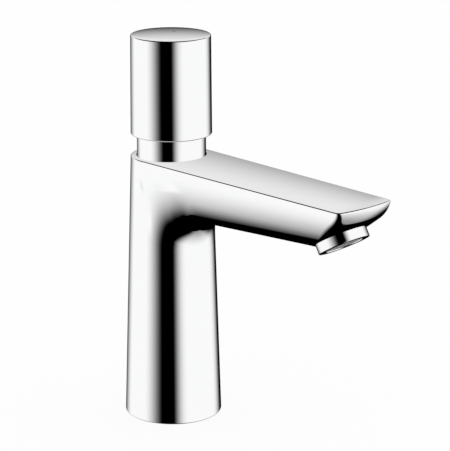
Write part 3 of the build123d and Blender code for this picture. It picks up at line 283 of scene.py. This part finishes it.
graph = bpy.context.evaluated_depsgraph_get()
even_mesh = bpy.data.meshes.new_from_object(rough_body.evaluated_get(graph))
bpy.data.objects.remove(rough_body)

# The rough shape is drawn onto the true surface and evened out, then trimmed at the top,
# the foot and the aerator's flat seat.
skin = bmesh.new()
skin.from_mesh(even_mesh)
even_rounds = 6
sides = [vert for vert in skin.verts if abs(vert.co.z - top_z / 2) < top_z / 2 + 0.8 * proud]
for _ in range(even_rounds):
    settle(sides)
    bmesh.ops.smooth_vert(
        skin, verts=sides, factor=0.5, use_axis_x=True, use_axis_y=True, use_axis_z=True
    )
settle(sides)
cut_tolerance = 0.02 * mm


def ends_of(edges):
    """The points at the ends of edges, each once and in the same order every time."""
    return dict.fromkeys(vert for edge in edges for vert in edge.verts)


def trim(shape, point, way, start_x=-1.0):
    """Cuts a shape off at a plane, ahead of a distance along X, and gives the cut's loop."""
    faces = [face for face in shape.faces if face.calc_center_median().x > start_x]
    edges = dict.fromkeys(edge for face in faces for edge in face.edges)
    old = {edge for edge in shape.edges if edge.is_boundary}
    bmesh.ops.bisect_plane(
        shape,
        geom=[*ends_of(edges), *edges, *faces],
        dist=cut_tolerance,
        plane_co=point,
        plane_no=way,
        clear_outer=True,
    )
    loop = [edge for edge in shape.edges if edge.is_boundary and edge not in old]
    settle(ends_of(loop), flat=Vector(way).normalized())
    return loop


top_loop = trim(skin, (0, 0, top_z - top_edge_r - 1.2 * crown), (0, 0, 1))
foot_loop = trim(skin, (0, 0, foot_edge_r), foot_way)
seat_loop = trim(skin, seat_point, -seat_up, start_x=tip_x / 2)

# Every point of the skin keeps the direction that the finished metal faces there, so that the
# chrome reflects as smoothly as polished metal does.
facing = skin.verts.layers.float_vector.new("facing")
for vert, way in zip(skin.verts, skin_way(np.array([vert.co for vert in skin.verts]))):
    vert[facing] = Vector(way)


def crown_at(place):
    """The crowned top's height and direction over a place."""
    half_w = shoulder_r - (shoulder_r - tip_half_w) * max(place.x, 0) / tip_x
    behind = min(place.x, 0) / shoulder_r
    height = top_z + crown_rise - crown * ((place.y / half_w) ** 2 + behind**2)
    way = Vector((behind / shoulder_r, place.y / half_w**2, 0.5 / crown)).normalized()
    return height, way


def grow(shape, loop, move):
    """Extrudes an open loop once: a function moves each new point and gives the way it faces."""
    made = bmesh.ops.extrude_edge_only(shape, edges=loop)["geom"]
    new_loop = [item for item in made if isinstance(item, bmesh.types.BMEdge) and item.is_boundary]
    fresh = ends_of(new_loop)
    olds = {}
    for vert in fresh:
        ends = [edge.other_vert(vert) for edge in vert.link_edges]
        olds[vert] = next(end for end in ends if end not in fresh)
    for vert, old in olds.items():
        vert.co, vert[facing] = move(old)
    return new_loop, olds


def roll_edge(shape, loop, radius, ending, steps=5):
    """Rolls a loop round an edge, until it faces the way that a function gives."""
    starts = {vert: (vert.co.copy(), vert[facing].copy()) for edge in loop for vert in edge.verts}
    for step in range(1, steps + 1):

        def turned(old):
            place, way = starts[old]
            flat = Vector((way.x, way.y, 0)).normalized()
            last = ending(place)
            first_turn, last_turn = math.asin(way.z), math.atan2(last.z, last.dot(flat))
            turn = first_turn + (last_turn - first_turn) * step / steps
            now = Vector((math.cos(turn) * flat.x, math.cos(turn) * flat.y, math.sin(turn)))
            return place + radius * (now - way), now

        loop, olds = grow(shape, loop, turned)
        starts = {vert: starts[old] for vert, old in olds.items()}
    return loop


def side_top(old):
    """Point of the side right under the top edge's rounding."""
    return Vector((old.co.x, old.co.y, crown_at(old.co)[0] - top_edge_r)), old[facing]


top_loop, _ = grow(skin, top_loop, side_top)
top_ring = ends_of(top_loop)
settle(top_ring, flat=(0, 0, 1))
for vert, way in zip(top_ring, skin_way(np.array([vert.co for vert in top_ring]))):
    vert[facing] = Vector(way)
top_loop = roll_edge(skin, top_loop, top_edge_r, lambda place: crown_at(place)[1])
foot_loop = roll_edge(skin, foot_loop, foot_edge_r, lambda place: foot_way)

# The casting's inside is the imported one's: bore, recess, spout channel and the aerator's socket.
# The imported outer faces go, also those of its plain fillet, outside of column and spout.
weld = 0.002 * mm
inside = bmesh.new()
inside.from_mesh(frame["nodes"]["body_shell"].data)
bmesh.ops.remove_doubles(inside, verts=inside.verts, dist=weld)
near = 0.01 * mm
middles = [face.calc_center_median() for face in inside.faces]
spots = np.array(middles)
gaps = np.minimum(column(spots)[0], rolled(tube(spots), nose(spots), nose_corner_r)[0])
outer = [
    face
    for face, middle, gap in zip(inside.faces, middles, gaps)
    if gap > -least_wall
    or not near < middle.z < top_z - near
    or (middle.x > tip_x / 2 and abs((middle - seat_point).dot(seat_up)) < near)
]
bmesh.ops.delete(inside, geom=outer, context="FACES")
holes = {"neck": [], "recess": [], "socket": []}
rim_facing = inside.verts.layers.float_vector.new("facing")
for vert in inside.verts:
    if vert.is_boundary:
        hole = "neck" if vert.co.z > top_z - near else "recess" if vert.co.z < near else "socket"
        holes[hole].append(vert.co.copy())
        if hole == "neck":
            vert.co.z, vert[rim_facing] = crown_at(vert.co)
        else:
            vert[rim_facing] = foot_way if hole == "recess" else -seat_up
# The inside faces take the body's second material, which is painted near black as painted shade.
for face in inside.faces:
    face.material_index = 1
inside_mesh = bpy.data.meshes.new("inside")
inside.to_mesh(inside_mesh)
inside.free()


def share_ahead(place):
    """How far a point of the top's outline lies along it, from the column to the tip's middle."""
    half_w = shoulder_r - (shoulder_r - tip_half_w) * place.x / tip_x
    return (place.x + half_w - abs(place.y)) / (tip_x + tip_half_w)


def to_neck(old):
    """Point of the neck's hole that an outline point of the top is joined with."""
    place = old.co
    turn = math.atan2(place.y, place.x)
    if place.x > 0:
        turn = math.copysign(math.pi / 2 * (1 - min(share_ahead(place), 1)), place.y)
    target = neck_hole_r * Vector((math.cos(turn), math.sin(turn), 0))
    nearest = min(holes["neck"], key=lambda spot: (spot.xy - target.xy).length)
    height, way = crown_at(nearest)
    return Vector((nearest.x, nearest.y, height)), way


def to_nearest(hole, way):
    """A function that joins an outline with the points of a hole in the same plane."""
    return lambda old: (min(holes[hole], key=lambda spot: (spot - old.co).length), way)


top_loop, olds = grow(skin, top_loop, to_neck)
spokes = [edge for vert, old in olds.items() for edge in vert.link_edges if edge.other_vert(vert) == old]
top_rings = 14
rings = bmesh.ops.subdivide_edges(skin, edges=spokes, cuts=top_rings, use_grid_fill=True)["geom_inner"]
for vert in [item for item in rings if isinstance(item, bmesh.types.BMVert)]:
    vert.co.z, vert[facing] = crown_at(vert.co)
grow(skin, foot_loop, to_nearest("recess", foot_way))
grow(skin, seat_loop, to_nearest("socket", -seat_up))
skin.from_mesh(inside_mesh)
bmesh.ops.remove_doubles(skin, verts=skin.verts, dist=2 * weld)
bmesh.ops.recalc_face_normals(skin, faces=skin.faces)


def keep_facing(made, sharp):
    """Gives a mesh the kept directions, except where a face turns away from them too far."""
    mesh = made.data
    mesh.shade_smooth()
    mesh.set_sharp_from_angle(angle=sharp)
    kept = [item.vector.copy() for item in mesh.attributes["facing"].data]
    ways = []
    for polygon in mesh.polygons:
        for corner in polygon.vertices:
            way = kept[corner]
            ways.append(way if way.dot(polygon.normal) > math.cos(sharp) else Vector((0, 0, 0)))
    mesh.normals_split_custom_set(ways)
    mesh.attributes.remove(mesh.attributes["facing"])


chromed_body = as_object("chromed_body", skin)
keep_facing(chromed_body, sharp=math.radians(25))


class Shade:
    """A shader socket, whose sums and products add the nodes that work them out."""

    def __init__(self, tree, socket=None):
        self.tree = tree
        self.socket = socket

    def node(self, kind, settings=None, stops=None, out=0, **values):
        """Adds a node: its settings, a ramp's stops and its sockets' values or links."""
        made = self.tree.nodes.new("ShaderNode" + kind)
        for name, value in (settings or {}).items():
            setattr(made, name, value)
        for spot, (place, colour) in enumerate(stops or []):
            points = made.color_ramp.elements
            point = points[spot] if spot < 2 else points.new(place)
            point.position, point.color = place, colour
        for name, value in values.items():
            key = int(name[1:]) if name[1:].isdigit() else name.replace("_", " ")
            if isinstance(value, Shade):
                self.tree.links.new(value.socket, made.inputs[key])
            else:
                made.inputs[key].default_value = value
        return Shade(self.tree, made.outputs[out] if made.outputs else None)

    def maths(self, kind, *values):
        """Adds a Math node."""
        sockets = {f"i{at}": value for at, value in enumerate(values)}
        return self.node("Math", {"operation": kind}, **sockets)

    def __add__(self, other):
        return self.maths("ADD", self, other)

    def __sub__(self, other):
        return self.maths("SUBTRACT", self, other)

    def __rsub__(self, other):
        return self.maths("SUBTRACT", other, self)

    def __mul__(self, other):
        return self.maths("MULTIPLY", self, other)

    def __truediv__(self, other):
        return self.maths("DIVIDE", self, other)

    def __pow__(self, other):
        return self.maths("POWER", self, other)

    __radd__ = __add__
    __rmul__ = __mul__

    def largest(self, other):
        """The larger of two values."""
        return self.maths("MAXIMUM", self, other)

    def clamped(self):
        """Keeps a value between 0 and 1."""
        return self.node("Clamp", Value=self)

    def ramp(self, low, high):
        """Runs evenly from 0 to 1 between two values."""
        return self.node("MapRange", Value=self, From_Min=low, From_Max=high)

    def step(self, low, high):
        """Runs smoothly from 0 to 1 between two values."""
        return self.node(
            "MapRange", {"interpolation_type": "SMOOTHSTEP"}, Value=self, From_Min=low, From_Max=high
        )


def new_material(name):
    """An empty material and the start of its nodes."""
    made = bpy.data.materials.new(name)
    made.use_nodes = True
    made.node_tree.nodes.clear()
    return made, Shade(made.node_tree)


def finish_with(nodes, shader):
    """Links a shader to the material's output."""
    nodes.node("OutputMaterial", Surface=shader)


def mixed(nodes, share, first, second):
    """Colour between two others."""
    return nodes.node("Mix", {"data_type": "RGBA"}, out=2, i0=share, i6=first, i7=second)


def dress(made, materials, body, stands_for=()):
    """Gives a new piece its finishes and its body."""
    for material in materials:
        made.data.materials.append(material)
    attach(made, body)
    if stands_for:
        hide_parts(*stands_for)


def chrome(name, colour, least_rough, most_rough, ripple):
    """Polished chrome: plating has a faint unevenness in its gloss and a very shallow ripple."""
    material, nodes = new_material(name)
    place = nodes.node("TexCoord", out=3)
    haze = nodes.node("TexNoise", Vector=place, Scale=55.0, Detail=3.0, Roughness=0.6)
    swell = nodes.node("TexNoise", Vector=place, Scale=28.0, Detail=1.0)
    wave = nodes.node("Bump", Height=swell, Strength=ripple, Distance=0.3 * mm)
    tint = mixed(nodes, haze, (*[part * 0.985 for part in colour], 1), (*colour, 1))
    metal = nodes.node(
        "BsdfPrincipled",
        Base_Color=tint,
        Metallic=1.0,
        Roughness=least_rough + (most_rough - least_rough) * haze.step(0.3, 0.7),
        Normal=wave,
    )
    finish_with(nodes, metal)
    return material


def moulded(name, colour, rough, grain):
    """A dull skin of one colour, as moulded or cast, with a slight mottle and a fine grain."""
    material, nodes = new_material(name)
    place = nodes.node("TexCoord", out=3)
    mottle = nodes.node("TexNoise", Vector=place, Scale=140.0, Detail=4.0)
    fine = nodes.node("TexNoise", Vector=place, Scale=2500.0, Detail=2.0)
    darker = (*[part * 0.86 for part in colour], 1)
    body = nodes.node(
        "BsdfPrincipled",
        Base_Color=mixed(nodes, mottle, darker, (*colour, 1)),
        Roughness=rough + 0.12 * mottle,
        Normal=nodes.node("Bump", Height=fine, Strength=grain, Distance=0.1 * mm),
    )
    finish_with(nodes, body)
    return material


chrome_colour = (0.955, 0.957, 0.96)
body_chrome = chrome("body_chrome", chrome_colour, 0.02, 0.035, ripple=0.05)
# The casting's inside is painted near black as painted shade, so that the bore and the shadow gap round
# the neck look dark.
inside_painted_shade = moulded("inside_with_painted_shade", (0.06, 0.05, 0.04), 0.7, 0.4)
dress(chromed_body, [body_chrome, inside_painted_shade], "body", ["body_shell"])


def turned(name, outline, rounds, steps=256, place=None):
    """Turns an outline of radii and heights about Z and rounds the corners that are named."""
    shape = bmesh.new()
    points = [shape.verts.new((radius, 0, height)) for radius, height in outline]
    for first, second in zip(points, points[1:]):
        shape.edges.new((first, second))
    if outline[0][0] > 0:
        shape.edges.new((points[-1], points[0]))
    for spot, radius in rounds.items():
        bmesh.ops.bevel(
            shape, geom=[points[spot]], offset=radius, offset_type="OFFSET", segments=5,
            profile=0.5, material=-1, affect="VERTICES",
        )
    bmesh.ops.spin(
        shape, geom=shape.verts[:] + shape.edges[:], cent=(0, 0, 0), axis=(0, 0, 1),
        angle=2 * math.pi, steps=steps, use_merge=True,
    )
    bmesh.ops.remove_doubles(shape, verts=shape.verts, dist=weld)
    bmesh.ops.recalc_face_normals(shape, faces=shape.faces)
    if place:
        bmesh.ops.transform(shape, matrix=place, verts=shape.verts)
    made = as_object(name, shape)
    made.data.shade_smooth()
    made.data.set_sharp_from_angle(angle=math.radians(40))
    even_light = made.modifiers.new("even_light", "WEIGHTED_NORMAL")
    even_light.keep_sharp = True
    even_light.weight = 100
    return made


# Neck sleeve: a thin drawn tube, chromed, that stands on a step inside the body's top.
# The knob slides over it. A shadow gap of 0.4 mm is left round its foot.
sleeve_low, sleeve_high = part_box("neck_sleeve")
sleeve_r = 16.73 * mm
sleeve_wall = 1.05 * mm
sleeve_edge_r = 0.3 * mm
sleeve = turned(
    "drawn_sleeve",
    [
        (sleeve_r - sleeve_wall, sleeve_low.z),
        (sleeve_r, sleeve_low.z),
        (sleeve_r, sleeve_high.z),
        (sleeve_r - sleeve_wall, sleeve_high.z),
    ],
    {2: sleeve_edge_r, 3: sleeve_edge_r},
)
dress(sleeve, [body_chrome], "body", ["neck_sleeve"])

# Knob: a turned and chromed brass cup, open downwards, with a slightly crowned top. Its lower edge
# is dull and painted mid grey as a painted reflection. A hole drilled through its back leads to the
# screw that holds it on its core.
knob_low, knob_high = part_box("knob_cap")
knob_low_r = 19.71 * mm
knob_top_r = 19.3 * mm
knob_bore_r = 17.15 * mm
knob_roof = 2.8 * mm
knob_crown = 0.6 * mm
knob_crown_rise = 0.45 * mm  # of the top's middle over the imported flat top
knob_rim_drop = 0.15 * mm  # polishing takes the crown down a little more at its rim
knob_rim_power = 12
knob_edge_r = 0.5 * mm
knob_bore_edge_r = 0.3 * mm
crown_steps = 24
plug_low, plug_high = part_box("screw_plug")
drill_gap = 0.03 * mm
drill_r = (plug_high.z - plug_low.z) / 2 + drill_gap
drill_l = 6 * mm


def knob_top_at(out):
    """Height of the knob's top at a distance from its axis."""
    share = out / knob_top_r
    drop = knob_crown * share**2 + knob_rim_drop * share**knob_rim_power
    return knob_high.z + knob_crown_rise - drop


knob = turned(
    "turned_knob",
    [(out, knob_top_at(out)) for out in np.linspace(0, knob_top_r, crown_steps + 1)]
    + [
        (knob_low_r, knob_low.z),
        (knob_bore_r, knob_low.z),
        (knob_bore_r, knob_high.z - knob_roof),
        (0, knob_high.z - knob_roof),
    ],
    {crown_steps: knob_edge_r, crown_steps + 1: knob_edge_r, crown_steps + 2: knob_bore_edge_r},
)
drill = turned(
    "drill",
    [(0, -drill_l / 2), (drill_r, -drill_l / 2), (drill_r, drill_l / 2), (0, drill_l / 2)],
    {},
    steps=48,
    place=Matrix.Translation((plug_low + plug_high) / 2) @ Matrix.Rotation(math.pi / 2, 4, "Y"),
)
drilled = knob.modifiers.new("drilled", "BOOLEAN")
drilled.object = drill
knob.modifiers.move(1, 0)
graph = bpy.context.evaluated_depsgraph_get()
drilled_mesh = bpy.data.meshes.new_from_object(knob.evaluated_get(graph))
knob.modifiers.clear()
knob.data = drilled_mesh
bpy.data.objects.remove(drill)
knob_chrome = chrome("knob_chrome_metal", chrome_colour, 0.02, 0.03, ripple=0.03)
# The lower edge's rounding gets a flat mid grey: a painted reflection of what the chrome would mirror
# below it.
edge_painted_reflection = moulded("edge_painted_reflection", (0.62, 0.62, 0.63), 0.4, 0.0)
for polygon in knob.data.polygons:
    if polygon.center.z < knob_low.z + knob_edge_r:
        polygon.material_index = 1
dress(knob, [knob_chrome, edge_painted_reflection], "knob", ["knob_cap"])

# Small dark mark on the knob's top, inlaid flush, which shows the middle of the turning range.
mark_low, mark_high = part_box("index_mark")
mark_r = (mark_high.x - mark_low.x) / 2
mark_rise = 0.01 * mm  # over the knob's skin, so that it shows
mark_spot = (mark_low + mark_high) / 2
mark = turned(
    "inlaid_mark",
    [(0, mark_high.z), (mark_r, mark_high.z), (mark_r, mark_low.z), (0, mark_low.z)],
    {},
    steps=48,
    place=Matrix.Translation((mark_spot.x, mark_spot.y, 0)),
)
for vert in mark.data.vertices:
    if vert.co.z > mark_spot.z:
        vert.co.z = knob_top_at(vert.co.xy.length) + mark_rise
enamel = moulded("mark_enamel", (0.16, 0.16, 0.17), 0.3, 0.05)
dress(mark, [enamel], "knob", ["index_mark"])

# Aerator ring: a short chromed ring screwed into the seat under the nose, and square to it.
ring_r = 12.1 * mm
ring_h = 4.66 * mm
ring_thread_r = 11.0 * mm
ring_thread_l = 5.0 * mm
ring_bore_r = 9.3 * mm
ring_mouth_r = 8.9 * mm
ring_lip = 0.8 * mm
ring_gap = 0.05 * mm
ring_edge_r = 0.3 * mm
ring_mouth_edge_r = 0.15 * mm
to_seat = Matrix.Translation(seat_point) @ Matrix.Rotation(-seat_tilt, 4, "Y")
outlet_ring = turned(
    "outlet_ring",
    [
        (ring_mouth_r, -ring_h),
        (ring_r, -ring_h),
        (ring_r, -ring_gap),
        (ring_thread_r, -ring_gap),
        (ring_thread_r, ring_thread_l),
        (ring_bore_r, ring_thread_l),
        (ring_bore_r, ring_lip - ring_h),
        (ring_mouth_r, ring_lip - ring_h),
    ],
    {1: ring_edge_r, 0: ring_mouth_edge_r},
    steps=192,
    place=to_seat,
)
dress(outlet_ring, [body_chrome], "body", ["aerator_ring"])


def machined(name, colour, least_rough, most_rough):
    """Turned or drawn metal with fine tool marks round the upright axis."""
    material, nodes = new_material(name)
    place = nodes.node("TexCoord", out=3)
    marks = nodes.node("Mapping", Vector=place, Scale=(40.0, 40.0, 1400.0))
    lines = nodes.node("TexNoise", Vector=marks, Scale=4.0, Detail=3.0)
    dull = nodes.node("TexNoise", Vector=place, Scale=90.0, Detail=3.0)
    darker = (*[part * 0.8 for part in colour], 1)
    metal = nodes.node(
        "BsdfPrincipled",
        Base_Color=mixed(nodes, dull, darker, (*colour, 1)),
        Metallic=1.0,
        Roughness=least_rough + (most_rough - least_rough) * lines,
        Normal=nodes.node("Bump", Height=lines, Strength=0.15, Distance=0.05 * mm),
    )
    finish_with(nodes, metal)
    return material


def dress_nodes(material, *names):
    """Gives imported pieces, whose shape is right as it is, a material."""
    for name in names:
        mesh = frame["nodes"][name].data
        mesh.materials.clear()
        mesh.materials.append(material)


# Stream grid: a moulded grey disc with a honeycomb of round holes in the ring's mouth.
dress_nodes(moulded("grid_plastic", (0.42, 0.43, 0.45), 0.35, 0.2), "aerator_grille")

# Plug over the knob's screw at the back, moulded and painted like the chrome.
dress_nodes(moulded("plug_plastic", (0.6, 0.61, 0.62), 0.25, 0.1), "screw_plug")

# Brass pieces of the waterway: machined, and left bare inside the body.
brass = machined("bare_brass", (0.71, 0.55, 0.28), 0.22, 0.45)
dress_nodes(
    brass, "function_block", "valve_seat", "metering_screw", "spindle", "cartridge_nut", "hose_nozzle"
)

# Stainless steel: screws, mesh filters, spring and rod.
steel = machined("stainless_steel", (0.62, 0.62, 0.62), 0.18, 0.4)
dress_nodes(steel, "block_screws", "inlet_filters", "return_spring", "push_rod", "grub_screw")

# Ceramic discs, lapped flat.
dress_nodes(moulded("lapped_ceramic", (0.9, 0.89, 0.86), 0.18, 0.02), "fixed_disc", "turning_disc")

# Grey moulded parts: the aerator's core and the cartridge's housing, cup and elbow.
dress_nodes(
    moulded("grey_plastic_moulding", (0.45, 0.46, 0.48), 0.38, 0.15),
    "aerator_core",
    "cartridge_housing",
    "timing_cup",
    "outlet_elbow",
)

# White moulded parts, slippery so that they slide.
dress_nodes(
    moulded("white_plastic_moulding", (0.88, 0.88, 0.85), 0.34, 0.1),
    "flow_regulator",
    "check_valves",
    "turning_sleeve",
    "timing_piston",
    "rod_gland",
    "glide_ring",
)

# Black moulded parts: the base ring, the stop finger and the knob's core.
dress_nodes(
    moulded("black_plastic_moulding", (0.05, 0.05, 0.05), 0.42, 0.3),
    "base_ring",
    "stop_finger",
    "knob_core",
)

# Red limit ring, so that a fitter finds it.
dress_nodes(moulded("red_plastic_moulding", (0.6, 0.07, 0.05), 0.36, 0.1), "limit_ring")

# Hose along the spout: a smooth white water hose.
dress_nodes(moulded("hose_plastic", (0.82, 0.83, 0.82), 0.45, 0.1), "spout_hose")

# Rubber seals.
dress_nodes(
    moulded("seal_rubber", (0.03, 0.03, 0.03), 0.55, 0.25),
    "aerator_washer",
    "base_seal",
    "cartridge_seals",
    "housing_o_rings",
    "sleeve_o_rings",
    "lip_seal",
    "valve_washer",
    "rod_seal",
    "neck_o_ring",
    "nozzle_o_ring",
    "elbow_o_ring",
)

# Studio: the tap stands on a white floor inside a light tent. The tent has a dark strip beside
# the camera, a dark gap behind the tap, and dark openings high above and far below, which the
# chrome reflects as its black and grey bands. Matt surfaces get an even light.
floor_half = 8.0
sheet = bmesh.new()
bmesh.ops.create_grid(sheet, x_segments=8, y_segments=8, size=floor_half)
floor = as_object("floor", sheet)
floor_paint, nodes = new_material("floor_white")
paper = nodes.node("BsdfDiffuse", Color=(0.93, 0.93, 0.93, 1))
glow = nodes.node("Emission", Color=(1, 1, 1, 1), Strength=1.005)
seen_share = nodes.node("LightPath") * 0.9
finish_with(nodes, nodes.node("MixShader", i0=seen_share, i1=paper, i2=glow))
floor.data.materials.append(floor_paint)
floor.visible_glossy = False

front = Vector((0.733, -0.680, 0))
right = Vector((0.680, 0.733, 0))
tent = bpy.data.worlds.new("tent")
tent.use_nodes = True
tent.node_tree.nodes.clear()
bpy.context.scene.world = tent
nodes = Shade(tent.node_tree)
ray = nodes.node("TexCoord")


def part_along(way):
    """How much of the ray's direction lies along a way."""
    return nodes.node("VectorMath", {"operation": "DOT_PRODUCT"}, out=1, i0=ray, i1=tuple(way))


in_degrees = 180 / math.pi
beside = nodes.maths("ARCTAN2", part_along(right), part_along(front)) * in_degrees
height = nodes.maths("ARCSINE", part_along((0, 0, 1))) * in_degrees

# The tent's angles are in degrees: beside the way to the camera, and above the horizon.
# Cloth on the left: it fades towards the camera, towards the gap behind the tap and downwards,
# and ends in a hem that rises at both ends.
left_front = 1 - (beside + (0 - height - 45).largest(0)).ramp(-75, -25) ** 2
rear_start = 112 + 10 * height.step(-40, -20)
left_rear = 1 - ((0 - beside - rear_start) / (rear_start - 72)).clamped() ** 1.5
left_low = 1 - (0 - height).ramp(20, 67) ** 2
hem = 63
left_hem = hem - 0.47 * (0 - beside - 111).largest(0) - 0.4 * (beside + 60).largest(0)
left_cloth = left_front * left_rear * left_low * (left_hem + height).step(-1, 1)

# Cloth on the right: its front edge slants away from the camera below the tap, and its hem rises
# behind the tap.
slant = 1.1 * (0 - height - 20).largest(0)
right_front = 1 - (1 - (beside - slant).ramp(2, 44)) ** 3
right_start = 110 - 15 * (1 - height.step(-35, -18))
right_rear = 1 - ((beside - right_start) / 45).clamped() ** 2.3
right_low = 1 - 0.4 * (0 - height).ramp(20, 55)
right_hem = hem - 0.95 * (beside - 110).largest(0)
right_cloth = right_front * right_rear * right_low * (right_hem + height).step(-2, 4)

# Above the tap the cloth closes the gap behind it, and leaves an opening overhead.
over_gap = 0.93 * (1 - (1 - height.ramp(0, 19)) ** 1.7)
rear = nodes.maths("ABSOLUTE", beside).step(120, 150) * over_gap
right_hand = beside.step(-20, 0) * (1 - beside.step(110, 130))
overhead = 1 - 0.92 * (height - 12 * right_hand).step(25, 33)
shown = left_cloth.largest(right_cloth).largest(rear) * overhead
mirrored = shown**2.2
is_camera = nodes.node("LightPath")
is_glossy = nodes.node("LightPath", out=3)
even_level = 0.95 + 0.05 * is_camera
level = is_glossy * mirrored + (1 - is_glossy) * even_level
nodes.node("OutputWorld", Surface=nodes.node("Background", Color=(1, 1, 1, 1), Strength=level))

# The polished pieces mirror the tent alone and not each other, as in the photograph.
for piece in bpy.context.scene.objects:
    piece.visible_glossy = False
bpy.context.scene.view_settings.view_transform = "Standard"
